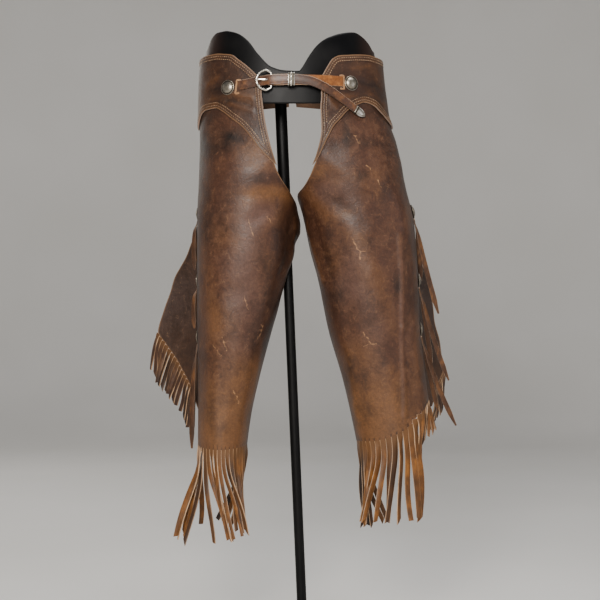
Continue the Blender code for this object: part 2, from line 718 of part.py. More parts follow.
def front_belt(strap_leather, billet_leather, silver):
    """Buckle strap from the right yoke, billet from the left one, buckle, keeper and tip."""
    bar_x = -61.0
    bar_out = 5.0
    belt_height = 1100.5
    loop = 3.4                 # bar's centre to the middle of the strap that folds round it
    on_yoke = YOKE_GAP + YOKE_LEATHER + LAYER_GAP + STRAP_THICK / 2

    run = [(70, on_yoke), (52, on_yoke + 0.4), (34, on_yoke + 1.6), (10, bar_out + loop),
           (-20, bar_out + loop), (-45, bar_out + loop), (bar_x, bar_out + loop)]
    path = []
    faces = []
    for x, out in run:
        place, normal = front_place(x, belt_height, out)
        path.append(place)
        faces.append(normal)
    bar, bar_normal = front_place(bar_x, belt_height, bar_out)
    left = Vector((0, 0, 1)).cross(bar_normal).normalized()
    if left.x > 0:
        left = -left
    for turn in (30, 60, 90, 120, 150, 180):
        face = bar_normal * math.cos(math.radians(turn)) + left * math.sin(math.radians(turn))
        path.append(bar + face * loop)
        faces.append(face)
    for step in (10, 24):
        path.append(bar - bar_normal * loop - left * step)
        faces.append(-bar_normal)
    widths = [STRAP_WIDTH] * len(path)
    strap = strap_object("buckle_strap", path, faces, widths, STRAP_THICK, strap_leather)
    cut_slot(strap, bar + left * 3.0, (9.0, 16.0, 6.0))

    billet_out = bar_out + loop + STRAP_THICK / 2 + LAYER_GAP + STRAP_THICK / 2
    route = [(-121, on_yoke, 1093), (-106, on_yoke + 0.3, 1095), (-94, on_yoke + 0.4, 1097),
             (-84, on_yoke + 1.4, 1098.4), (-73, billet_out - 2.4, 1099.6), (-62, billet_out, 1100.5),
             (-44, billet_out, 1101.3), (-24, billet_out, 1101.8), (-6, billet_out, 1100.8),
             (12, billet_out + 0.4, 1097.5), (28, billet_out + 1.0, 1091), (44, billet_out + 1.2, 1082),
             (60, billet_out + 0.8, 1071.5), (76, billet_out, 1060.5), (91, billet_out - 1.5, 1050)]
    path = []
    faces = []
    for x, out, height in route:
        place, normal = front_place(x, height, out)
        path.append(place)
        faces.append(normal)
    widths = [18, 18, 18, 18, 18, 18, 17.5, 17, 16.5, 16, 15.5, 15, 14.5, 14, 13.5]
    billet = strap_object("billet", path, faces, widths, STRAP_THICK, billet_leather)
    hole, _ = front_place(-66.5, belt_height, billet_out - 1.0)
    cut_slot(billet, hole, (7.0, 14.0, 4.6))

    end = path[-1]
    heading = (path[-1] - path[-2]).normalized()
    tip_path = [end + heading * (SEAM_GAP + step) for step in (0, 6, 14, 20, 24)]
    strap_object("billet_tip", tip_path, [faces[-1]] * 5, [15, 15.5, 14.5, 9.5, 3.5], 3.2, silver)

    # D-shaped frame: the straight side is the bar inside the strap's loop
    wire = 1.9
    ahead = 26.0
    tilt = 7.2
    half_bar = 14.0
    half_tall = 19.0
    outline = [(0.0, half_bar), (0.0, -half_bar)]
    for step in range(9):
        turn = math.radians(-78 + 156 * step / 8)
        outline.append((2 + (ahead - 2) * math.cos(turn) ** 0.8, half_tall * math.sin(turn)))
    rings = []
    for i, (x, z) in enumerate(outline):
        before = outline[i - 1]
        after = outline[(i + 1) % len(outline)]
        along = Vector((after[0] - before[0], 0, after[1] - before[1])).normalized()
        centre = bar + left * x + bar_normal * tilt * x / ahead + Vector((0, 0, z))
        in_plane = (left * along.z - Vector((0, 0, along.x))).normalized()
        rings.append([centre + (in_plane * math.cos(a) + bar_normal * math.sin(a)) * wire
                      for a in [math.radians(60 * k) for k in range(6)]])
    rings_object("buckle_frame", rings, silver, loop=True)

    tongue_path = []
    for along, out in ((2.6, 1.2), (4.4, 6.0), (7.0, 9.6), (14.0, 11.2), (21.0, 11.6), (28.5, 10.6)):
        tongue_path.append(bar + left * along + bar_normal * out)
    strap_object("buckle_tongue", tongue_path, [bar_normal] * 6, [3.2, 3.2, 3.2, 3.0, 2.8, 2.4], 1.8, silver)

    # Keeper: a flat loop round both straps
    middle, normal = front_place(-24, belt_height + 0.6, (bar_out + loop + billet_out) / 2)
    across = Vector((0, 0, 1)).cross(normal).normalized()
    reach_z = 12.0
    reach_out = 5.0
    corner = 1.6
    wall = 1.4
    rings = []
    for sign_z, sign_out in ((1, 1), (-1, 1), (-1, -1), (1, -1)):
        cut = [(reach_z, reach_out - corner), (reach_z - corner, reach_out)]
        if sign_z * sign_out < 0:
            cut.reverse()
        for z, out in cut:
            shrink_z = (z - wall) if z == reach_z else (z - wall * 0.4)
            shrink_out = (out - wall) if out == reach_out else (out - wall * 0.4)
            far = Vector((0, 0, sign_z * z)) + normal * sign_out * out
            near = Vector((0, 0, sign_z * shrink_z)) + normal * sign_out * shrink_out
            wide = 6.1
            rings.append([middle + far - across * wide, middle + far + across * wide,
                          middle + near + across * wide, middle + near - across * wide])
    rings_object("keeper", rings, silver, loop=True)


def concho(name, centre, normal, material, radius=CONCHO_RADIUS):
    profile = [(0, 0), (radius, 0), (radius, 1.3), (radius * 0.72, 3.6), (radius * 0.36, 4.9), (0, 5.3)]
    return turned_object(name, profile, centre, normal, 14, material)


# Ties: height on the closing line and each string's route, as steps back, out and down
TIE = "height width a_back a_out a_long b_back b_out b_long strap_in"
LEFT_TIES = table(TIE, [
    (862, 9, 10, 3, 95, 26, 3, 80, 3),
    (731, 9, 8, 3, 80, 24, 6, 70, 15),
    (620, 11, 2, 8, 205, 20, 12, 190, 6),
])
RIGHT_TIES = table(TIE, [
    (864, 11, 20, 46, 185, 44, 14, 120, 4),
    (731, 10, 16, 56, 182, 46, 26, 150, 6),
    (636, 10, 14, 66, 176, 44, 34, 150, 6),
])
TIE_CONCHO_ANGLE = 8.0     # degrees in front of the closing edge


def tie_string(leg, name, concho_centre, normal, start, back, out, long, width, material):
    """Flat string end that leaves the concho's lower rim and hangs to a pointed end."""
    steps = 9
    thick = 2.0
    path = []
    faces = []
    widths = []
    outward = Vector((leg["side"], 0, 0))
    level = Vector((0, 0, leg["side"])).cross(normal).normalized()
    down = normal.cross(level) * -leg["side"]
    near = concho_centre + level * start + down * (CONCHO_RADIUS + 1.3)
    root, face = leg_seat(leg, leg_angle(leg, near), near.z, ROOT_GAP + thick / 2)
    for i in range(steps):
        t = i / (steps - 1)
        place = root + face * (4.4 * smooth_step(t, 0, 0.2) + 4.0 * math.sin(math.pi * t))
        place += Vector((0, 1, 0)) * (back - start) * t ** 0.8
        place += outward * out * t ** 1.6
        place += Vector((0, 0, -1)) * long * t
        path.append(place)
        turn = math.radians(15 + 60 * t)
        turned = outward * math.cos(turn) + Vector((0, -1, 0)) * math.sin(turn)
        faces.append(face.lerp(turned, smooth_step(t, 0, 0.3)).normalized())
        widths.append(width * (1.0 if t < 0.85 else 1 - 4.5 * (t - 0.85)))
    return strap_object(name, path, faces, widths, thick, material)


def leg_strap(leg, name, height, inward, material):
    """Plain strap behind the leg, from inside the inner edge to under the wing's root."""
    start = read(leg["edges"], "height", height, "inner") - 13
    end = 360 + leg["edges"][-1]["outer"] + 8
    near = -(LEATHER + LAYER_GAP + 0.3)
    far = WING_OUT - LEATHER - LAYER_GAP - 0.3
    steps = 16
    grids = []
    for deep in (0.0, -STRAP_THICK):
        rows = []
        for edge in (11.0, -11.0):
            row = []
            for i in range(steps + 1):
                t = i / steps
                slack = smooth_step(t, 0.06, 0.16) * (1 - smooth_step(t, 0.8, 0.94))
                out = near + (far - near) * smooth_step(t, 0.6, 0.9) - inward * slack
                fall = 14 * math.sin(math.pi * t) ** 1.5
                row.append(leg_point(leg, start + (end - start) * t, height + edge - fall, out + deep))
            rows.append(row)
        grids.append(rows)
    wall_object(name, grids[0], grids[1], material)


def ties(leg, rows, string_leather, silver):
    edge = leg["edges"][-1]["outer"]
    for number, row in enumerate(rows, 1):
        label = leg["name"] + "_" + str(number)
        centre, normal = leg_seat(leg, edge + TIE_CONCHO_ANGLE, row["height"], LAYER_GAP)
        concho("concho_" + label, centre, normal, silver)
        for end, start in (("a", -6.0), ("b", 7.0)):
            tie_string(leg, "tie_" + label + "_" + end, centre, normal, start, row[end + "_back"],
                       row[end + "_out"], row[end + "_long"], row["width"], string_leather)
        leg_strap(leg, "leg_strap_" + label, row["height"], row["strap_in"], string_leather)


# Display stand
FORM = table("height centre_x half_width half_depth", [
    (1058, -21.5, 178, 108.5),
    (1110, -24, 173.5, 105.5),
    (1169, -27, 164.5, 100),
    (1205, -27, 157, 96),
])
FORM_TOP = table("x height", [
    (-191, 1176), (-186, 1197), (-176, 1204), (-160, 1204), (-146, 1201), (-130, 1195), (-109, 1180),
    (-86, 1152), (-62, 1128), (-38, 1121), (-12, 1120), (-2, 1132), (8, 1147), (29, 1172), (48, 1185),
    (82, 1197), (106, 1201), (122, 1194), (131, 1185), (137, 1174),
])


def form_edges(turn):
    """Top and low edge of the form at a turn from its left side over the front."""
    x = read(FORM, "height", 1150, "centre_x") - read(FORM, "height", 1150, "half_width") * math.cos(turn)
    top = read(FORM_TOP, "x", x, "height")
    low = FORM_FRONT_LOW + (FORM_BACK_LOW - FORM_FRONT_LOW) * (1 - math.sin(turn)) / 2
    return top, low


def form_point(turn, height, inward):
    row = {name: read(FORM, "height", height, name) for name in ("centre_x", "half_width", "half_depth")}
    return Vector((row["centre_x"] - (row["half_width"] - inward) * math.cos(turn),
                   -(row["half_depth"] - inward) * math.sin(turn), height))


def form_object(material):
    """Oval hip form: an open ring with a lobe on each hip and round rims."""
    columns = 64
    rows = 4
    rim = FORM_WALL / 2
    rings = []
    levels = [(t / (rows - 1), 0.0) for t in range(rows)]
    inside = [(t, FORM_WALL) for t, _ in reversed(levels)]
    for share, inward in levels + [("top", rim)] + inside + [("low", rim)]:
        ring = []
        for j in range(columns):
            turn = 2 * math.pi * j / columns
            top, low = form_edges(turn)
            if share == "top":
                height = top
            elif share == "low":
                height = low
            else:
                height = low + rim + (top - low - 2 * rim) * share
            ring.append(form_point(turn, height, inward))
        rings.append(ring)
    return rings_object("form", rings, material, loop=True, smooth=50.0)


def pole_place(height):
    return Vector((POLE_LEAN * height, 0, height))


def rod(name, low, high, radius, segments, material):
    """Round rod on the leaning pole's line, square to it at both ends."""
    axis = (pole_place(high) - pole_place(low))
    profile = [(0, 0), (radius, 0), (radius, axis.length), (0, axis.length)]
    return turned_object(name, profile, pole_place(low), axis, segments, material)


def stand(satin, steel):
    form_object(satin)
    level = 1101.0
    thick = 8.0
    depth = 34.0
    reach = []
    for side in (0.0, math.pi):
        share = math.asin((depth / 2) / (read(FORM, "height", level, "half_depth") - FORM_WALL))
        reach.append(form_point(side + share, level, FORM_WALL + 0.5).x)
    rings = []
    for x in (reach[0], reach[1]):
        rings.append([Vector((x, -depth / 2, level)), Vector((x, depth / 2, level)),
                      Vector((x, depth / 2, level - thick)), Vector((x, -depth / 2, level - thick))])
    rings_object("form_crossbar", rings, steel)
    rod("pole_sleeve", SLEEVE_LOW, level - thick - 0.9, SLEEVE_RADIUS, 18, steel)
    rod("pole", BASE_HEIGHT + COLLAR_HEIGHT + SEAM_GAP, SLEEVE_LOW - 0.4, POLE_RADIUS, 16, steel)
    plate = [(0, 0), (BASE_RADIUS - 2, 0), (BASE_RADIUS, 2), (BASE_RADIUS, BASE_HEIGHT - 2),
             (BASE_RADIUS - 2, BASE_HEIGHT), (0, BASE_HEIGHT)]
    turned_object("base", plate, (0, 0, 0), (0, 0, 1), 40, steel)
    collar = [(0, 0.3), (20, 0.3), (16, COLLAR_HEIGHT - 2), (14, COLLAR_HEIGHT), (0, COLLAR_HEIGHT)]
    turned_object("base_collar", collar, (0, 0, BASE_HEIGHT), (0, 0, 1), 24, steel)


def back_strap(material):
    """Plain tab across the ends of both yokes at the centre back."""
    grids = []
    seat = YOKE_GAP + YOKE_LEATHER + LAYER_GAP
    for out in (seat + LEATHER, seat):
        grids.append([[leg_point(LEFT, -90 + 3.5 * step, height, out) for step in range(-4, 5)]
                      for height in (1134, 1124, 1114, 1104, 1094)])
    wall_object("back_strap", grids[0], grids[1], material)


def main():
    for old in list(bpy.data.objects):
        bpy.data.objects.remove(old)
    leg_leather = make_material("oiled_brown_leather", (0.135, 0.062, 0.032), 0.55)
    yoke_leather = make_material("dark_yoke_leather", (0.07, 0.03, 0.017), 0.5)
    fringe_leather = make_material("fringe_leather", (0.2, 0.085, 0.03), 0.6)
    strap_leather = make_material("bridle_strap", (0.36, 0.12, 0.03), 0.45)
    billet_leather = make_material("billet_leather", (0.25, 0.085, 0.03), 0.45)
    silver = make_material("aged_silver", (0.55, 0.53, 0.49), 0.32, 1.0)
    satin = make_material("black_satin_form", (0.004, 0.004, 0.005), 0.22)
    steel = make_material("black_steel", (0.006, 0.006, 0.006), 0.4)

    for leg, tie_rows in ((LEFT, LEFT_TIES), (RIGHT, RIGHT_TIES)):
        wall_object("leg_" + leg["name"], leg_grid(leg, 0.0), leg_grid(leg, -LEATHER), leg_leather)
        wing_object(leg, leg_leather)
        hem_fringe(leg, fringe_leather)
        wing_fringe(leg, fringe_leather)
        yoke_object(leg, yoke_leather)
        ties(leg, tie_rows, fringe_leather, silver)
    for row in YOKE_CONCHOS:
        leg = row["leg"]
        turn = hip_angle(leg, row["inward"], row["height"])
        centre, normal = leg_seat(leg, turn, row["height"], YOKE_GAP + YOKE_LEATHER + LAYER_GAP + 0.1)
        concho("concho_belt_" + leg["name"], centre, normal, silver)
    front_belt(strap_leather, billet_leather, silver)
    back_strap(yoke_leather)
    stand(satin, steel)


main()
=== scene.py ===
"""Fringed leather chaps on a black hip form and pole: their looks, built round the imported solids.

Sizes are millimetres and become metres where a mesh is made. +Z is up and the chaps' front
faces -Y. "Left" and "right" are the viewer's. Angles run round a leg: 0 at its outer side,
90 at the front, 180 at the inner side.
"""

import math

import bmesh
import bpy
import numpy as np
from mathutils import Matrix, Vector


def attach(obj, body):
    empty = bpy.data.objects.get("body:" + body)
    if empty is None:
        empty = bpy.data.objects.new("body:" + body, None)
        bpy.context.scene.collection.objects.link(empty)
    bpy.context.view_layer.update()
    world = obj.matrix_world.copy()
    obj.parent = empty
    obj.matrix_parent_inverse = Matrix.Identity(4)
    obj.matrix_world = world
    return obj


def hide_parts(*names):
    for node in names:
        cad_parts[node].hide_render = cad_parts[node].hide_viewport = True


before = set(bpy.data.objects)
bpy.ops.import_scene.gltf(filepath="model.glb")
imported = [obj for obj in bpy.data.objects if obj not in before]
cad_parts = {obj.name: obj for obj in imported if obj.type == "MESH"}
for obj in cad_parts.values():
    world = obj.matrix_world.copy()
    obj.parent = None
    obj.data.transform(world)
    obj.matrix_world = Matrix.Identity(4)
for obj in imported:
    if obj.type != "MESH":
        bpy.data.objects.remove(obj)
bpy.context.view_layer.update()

MILLIMETRE = 0.001
UP = np.array([0.0, 0.0, 1.0])
FRONT = np.array([0.0, -1.0, 0.0])

# Leathers and the gaps between pieces, as in the solids
LEATHER = 2.4
YOKE_LEATHER = 2.8
LAYER_GAP = 0.7
YOKE_GAP = 1.5
YOKE_FACE = YOKE_GAP + YOKE_LEATHER    # grain side of a yoke, out from the leg
ROOT_GAP = 0.4
WING_OUT = -(LEATHER + 0.9)
STRAP_WIDTH = 19.0
STRAP_THICK = 2.6
CONCHO_RADIUS = 14.0
TIE_CONCHO_ANGLE = 8.0
CUT_START = 9.0            # the hem's fringe is cut this far up into the leg's leather

# Display stand
POLE_LEAN = -0.0423
POLE_RADIUS = 9.5
SLEEVE_RADIUS = 11.5
SLEEVE_LOW = 862.0
BASE_RADIUS = 160.0
BASE_HEIGHT = 8.0
COLLAR_HEIGHT = 26.0
FORM_WALL = 5.0
FORM_FRONT_LOW = 1058.0
FORM_BACK_LOW = 1096.0
CROSSBAR_TOP = 1101.0
CROSSBAR_THICK = 8.0


def table(columns, rows):
    """Rows of numbers as dictionaries with named columns."""
    names = columns.split()
    return [dict(zip(names, row)) for row in rows]


def read(rows, key, value, name):
    """Smooth reading of a column at values of the key column, held at the table's ends."""
    order = sorted(rows, key=lambda row: row[key])
    xs = np.array([row[key] for row in order], float)
    ys = np.array([row[name] for row in order], float)
    steps = np.diff(ys) / np.diff(xs)
    total = steps[:-1] + steps[1:]
    product = steps[:-1] * steps[1:]
    middle = np.where(product > 0, 2 * product / np.where(total == 0, 1.0, total), 0.0)
    slopes = np.concatenate([steps[:1], middle, steps[-1:]])
    value = np.clip(value, xs[0], xs[-1])
    i = np.clip(np.searchsorted(xs, value, side="right") - 1, 0, len(xs) - 2)
    span = xs[i + 1] - xs[i]
    t = (value - xs[i]) / span
    return ((2 * t ** 3 - 3 * t ** 2 + 1) * ys[i] + (t ** 3 - 2 * t ** 2 + t) * span * slopes[i]
            + (3 * t ** 2 - 2 * t ** 3) * ys[i + 1] + (t ** 3 - t ** 2) * span * slopes[i + 1])


def smooth_step(value, low, high):
    t = np.clip((value - low) / (high - low), 0.0, 1.0)
    return t * t * (3 - 2 * t)


def unit(vectors):
    """Vectors of length one."""
    return vectors / np.linalg.norm(vectors, axis=-1, keepdims=True)


def steady(index, spread):
    """Repeatable small variation from one piece to the next."""
    return spread * math.sin(index * 12.9898 + 4.1)


# Oval of each leg's grain side by height: centre, half width, half depth to front and back
OVAL = "height centre_x centre_y half_width half_front half_back"
LEFT_OVALS = table(OVAL, [
    (1170, -25.5, 0, 173.5, 106, 106),
    (1110, -24, 0, 177.5, 110, 110),
    (1058, -21, 0, 181.5, 112, 112),
    (1025, -31, 0, 172, 112, 111),
    (1003, -43, 0, 160, 111, 110),
    (980, -58, 0, 145.5, 110, 108),
    (955, -78, 0, 126, 108, 105),
    (925, -96, 0, 109, 106, 101),
    (900, -106, 0, 100, 103, 99),
    (885, -110, 0, 97, 101, 98),
    (850, -112.5, 0, 95.5, 100, 97),
    (790, -113, 0, 95, 98, 95),
    (731, -120.5, 2, 87.5, 94, 91),
    (634, -135, 4, 73, 87, 86),
    (536, -147.5, 7, 59.5, 80, 80),
    (468, -155, 9, 52, 76, 77),
    (400, -160, 10, 47.5, 73, 76),
])
RIGHT_OVALS = table(OVAL, [
    (1170, -25.5, 0, 173.5, 106, 106),
    (1110, -24, 0, 177.5, 110, 110),
    (1058, -21, 0, 181.5, 112, 112),
    (1025, -4, 0, 174, 112, 111),
    (1003, 15, 0, 163, 111, 110),
    (980, 37, 0, 147, 109, 108),
    (955, 61, 0, 129, 107, 105),
    (925, 80, 0, 115, 104, 101),
    (900, 91, 0, 109.5, 102, 98),
    (885, 96.5, 0, 108, 100, 96),
    (850, 106, 0, 107, 98, 94),
    (790, 115, 2, 103.5, 95, 91),
    (731, 125, 4, 97.5, 91, 87),
    (634, 137, 6, 89.5, 83, 80),
    (536, 157, 9, 81, 74, 74),
    (468, 170, 11, 78, 68, 70),
    (400, 180, 12, 74, 64, 68),
])

# Angles run round a leg: 0 at its outer side, 90 front, 180 inner side, 270 back.
# The leg's two long edges by height: behind the hip or on the closing line, and inner
EDGES = "height outer inner"
LEFT_EDGES = table(EDGES, [
    (1150, -62, 71),
    (1104, -62, 71),
    (1050, -62, 74),
    (1010, -60, 78.8),
    (992, -56, 83),
    (975, -50, 89.6),
    (952, -42, 100.7),
    (937, -36, 109),
    (920, -29, 121),
    (901, -23, 139),
    (886, -20, 158),
    (874, -20, 176),
    (858, -20, 188),
    (820, -20, 190),
    (785, -20, 178),
    (740, -20, 167),
    (700, -20, 168),
    (650, -20, 182),
    (560, -20, 192),
    (400, -20, 196),
])
RIGHT_EDGES = table(EDGES, [
    (1150, -62, 71.5),
    (1104, -62, 71.5),
    (1050, -62, 74),
    (1025, -60, 78),
    (1003, -56, 83.7),
    (980, -48, 93),
    (963, -40, 102),
    (944, -30, 114),
    (924, -20, 128),
    (906, -12, 145),
    (893, -8, 169),
    (880, -8, 184),
    (858, -8, 196),
    (800, -8, 200),
    (700, -8, 196),
    (560, -8, 200),
    (400, -8, 204),
])

TOP_ROW = 1150.0
TOP_FADE = 1000.0          # the top edge's shape has died out here
HEM_ROW = 400.0
HEM_FADE = 700.0

EDGE = "angle height"
LEFT_TOP = table(EDGE, [
    (-62, 1141), (-30, 1148), (0, 1152.5), (25, 1155), (37, 1155), (45, 1152.5), (50, 1149.5),
    (56, 1138), (61, 1128), (66, 1116), (71, 1098),
])
RIGHT_TOP = table(EDGE, [
    (-62, 1141), (-30, 1147), (0, 1150.5), (25, 1153), (40, 1153), (58, 1148), (63, 1139),
    (67, 1126), (69.6, 1114), (71.5, 1101),
])
LEFT_HEM = table(EDGE, [
    (-20, 404), (20, 402), (60, 399), (90, 398), (130, 400), (180, 402), (196, 401),
])
RIGHT_HEM = table(EDGE, [
    (-8, 492), (15, 487), (35, 475), (52, 460), (68, 443), (84, 430), (100, 421), (125, 413), (204, 406),
])

# Free edge of each wing by height: how far out from the leg's side and back from its edge
WING = "height out back"
LEFT_WING = table(WING, [
    (888, -5, 8),
    (850, 2, 32),
    (813, 17, 56),
    (786, 28, 68),
    (758, 43, 79),
    (734, 57, 88),
    (712, 66, 94),
    (675, 79, 101),
    (628, 92, 107),
    (604, 76, 95),
    (572, 54, 76),
    (532, 30, 52),
    (500, 14, 32),
    (476, 2, 14),
])
RIGHT_WING = table(WING, [
    (892, -1, 8),
    (850, 3, 30),
    (805, 8, 50),
    (771, 14, 64),
    (735, 28, 78),
    (702, 38, 90),
    (655, 42, 99),
    (610, 47, 106),
    (577, 52, 111),
    (556, 54, 113),
    (536, 44, 96),
    (512, 30, 76),
    (492, 16, 52),
    (480, 6, 34),
])
WING_UNDERLAP = 16.0       # degrees that a wing lies under the leg
WING_STEPS = 6             # columns from the closing line to the free edge

# Ribs of each yoke from its front edge to the back: the low and the top end, as a distance
# inwards from the hip's side (negative behind it) and a height, and the rib's bow
RIBS = "low_in low_height top_in top_height bow"
LEFT_RIBS = table(RIBS, [
    (152, 944, 122, 1104, -6),
    (142, 952, 117, 1108, -5),
    (122, 972, 106, 1119, -3),
    (105, 995, 92, 1132, -1),
    (88, 1016, 78, 1143, 0),
    (64, 1036, 64, 1153.5, 0),
    (51, 1047, 51, 1156, 0),
    (36, 1055, 36, 1158.5, 0),
    (17, 1054, 17, 1158.5, 0),
    (6, 1046, 6, 1158, 0),
    (0.8, 1030, 0.8, 1157, 0),
    (-0.8, 1024, -0.8, 1156.5, 0),
    (-6, 1029, -6, 1155, 0),
    (-20, 1042, -20, 1153, 0),
    (-45, 1058, -45, 1150, 0),
    (-80, 1071, -80, 1148, 0),
    (-125, 1081, -125, 1145, 0),
    (-172, 1086, -172, 1143, 0),
])
RIGHT_RIBS = table(RIBS, [
    (175, 945, 124, 1108, -11),
    (165, 955, 119, 1113, -9),
    (151, 974, 108, 1130, -5),
    (137, 994, 97, 1144, -2),
    (121, 1014, 85, 1150, 0),
    (101, 1031, 70, 1152, 0),
    (82, 1047, 58, 1154, 0),
    (62, 1059, 46, 1155.5, 0),
    (46, 1064.5, 36, 1156.5, 0),
    (30, 1061, 26, 1157, 0),
    (17, 1049.5, 16, 1156, 0),
    (6, 1036, 6, 1155.5, 0),
    (0.8, 1029, 0.8, 1155, 0),
    (-0.8, 1026, -0.8, 1155, 0),
    (-6, 1030, -6, 1154, 0),
    (-20, 1042, -20, 1153, 0),
    (-45, 1058, -45, 1150, 0),
    (-80, 1071, -80, 1148, 0),
    (-125, 1081, -125, 1145, 0),
    (-172, 1086, -172, 1143, 0),
])

# Ties: height on the closing line and each string's route, as steps back, out and down
TIE = "height width a_back a_out a_long b_back b_out b_long strap_in"
LEFT_TIES = table(TIE, [
    (862, 9, 10, 3, 95, 26, 3, 80, 3),
    (731, 9, 8, 3, 80, 24, 6, 70, 15),
    (620, 11, 2, 8, 205, 20, 12, 190, 6),
])
RIGHT_TIES = table(TIE, [
    (864, 11, 20, 46, 185, 44, 14, 120, 4),
    (731, 10, 16, 56, 182, 46, 26, 150, 6),
    (636, 10, 14, 66, 176, 44, 34, 150, 6),
])

FORM = table("height centre_x half_width half_depth", [
    (1058, -21.5, 178, 108.5),
    (1110, -24, 173.5, 105.5),
    (1169, -27, 164.5, 100),
    (1205, -27, 157, 96),
])
FORM_TOP = table("x height", [
    (-191, 1176), (-186, 1197), (-176, 1204), (-160, 1204), (-146, 1201), (-130, 1195), (-109, 1180),
    (-86, 1152), (-62, 1128), (-38, 1121), (-12, 1120), (-2, 1132), (8, 1147), (29, 1172), (48, 1185),
    (82, 1197), (106, 1201), (122, 1194), (131, 1185), (137, 1174),
])


# Soft creases of the worn leather: from one end to the other, how wide and how deep; ridges are
# positive and hollows negative
CREASE = "angle height to_angle to_height width depth"
LEFT_CREASES = table(CREASE, [
    (148, 905, 118, 842, 20, 2.2),
    (128, 872, 96, 838, 15, -1.8),
    (96, 858, 84, 735, 22, 2.0),
    (68, 900, 58, 800, 24, -1.4),
    (154, 846, 146, 742, 13, -2.2),
    (166, 836, 164, 728, 9, 1.8),
    (46, 742, 64, 640, 26, 1.3),
    (112, 712, 132, 590, 20, -1.7),
    (84, 668, 100, 545, 22, 1.9),
    (138, 640, 152, 508, 13, 1.4),
    (34, 640, 30, 500, 20, -1.2),
    (20, 985, 34, 905, 26, -1.5),
    (62, 1000, 86, 955, 18, -1.5),
    (60, 520, 74, 420, 18, 1.2),
    (112, 520, 118, 412, 16, -1.1),
])
RIGHT_CREASES = table(CREASE, [
    (144, 905, 120, 850, 19, 2.0),
    (118, 890, 88, 836, 16, -1.6),
    (100, 950, 74, 905, 15, 1.5),
    (146, 846, 138, 748, 14, -2.0),
    (164, 834, 158, 730, 10, 1.8),
    (104, 826, 92, 742, 20, 1.5),
    (68, 872, 62, 770, 20, -1.6),
    (84, 742, 72, 640, 22, 1.9),
    (118, 722, 126, 610, 18, -1.8),
    (58, 690, 54, 520, 9, -1.6),
    (24, 760, 20, 560, 16, 1.3),
    (98, 640, 104, 520, 20, -1.3),
    (78, 560, 84, 440, 18, 1.3),
    (134, 600, 148, 470, 13, 1.5),
    (30, 985, 44, 915, 24, -1.3),
    (50, 815, 56, 640, 5, 2.6),
    (56, 640, 70, 470, 5, 2.4),
    (40, 790, 44, 640, 11, -2.6),
    (44, 640, 54, 470, 11, -2.2),
    (66, 1010, 92, 968, 15, -1.6),
])

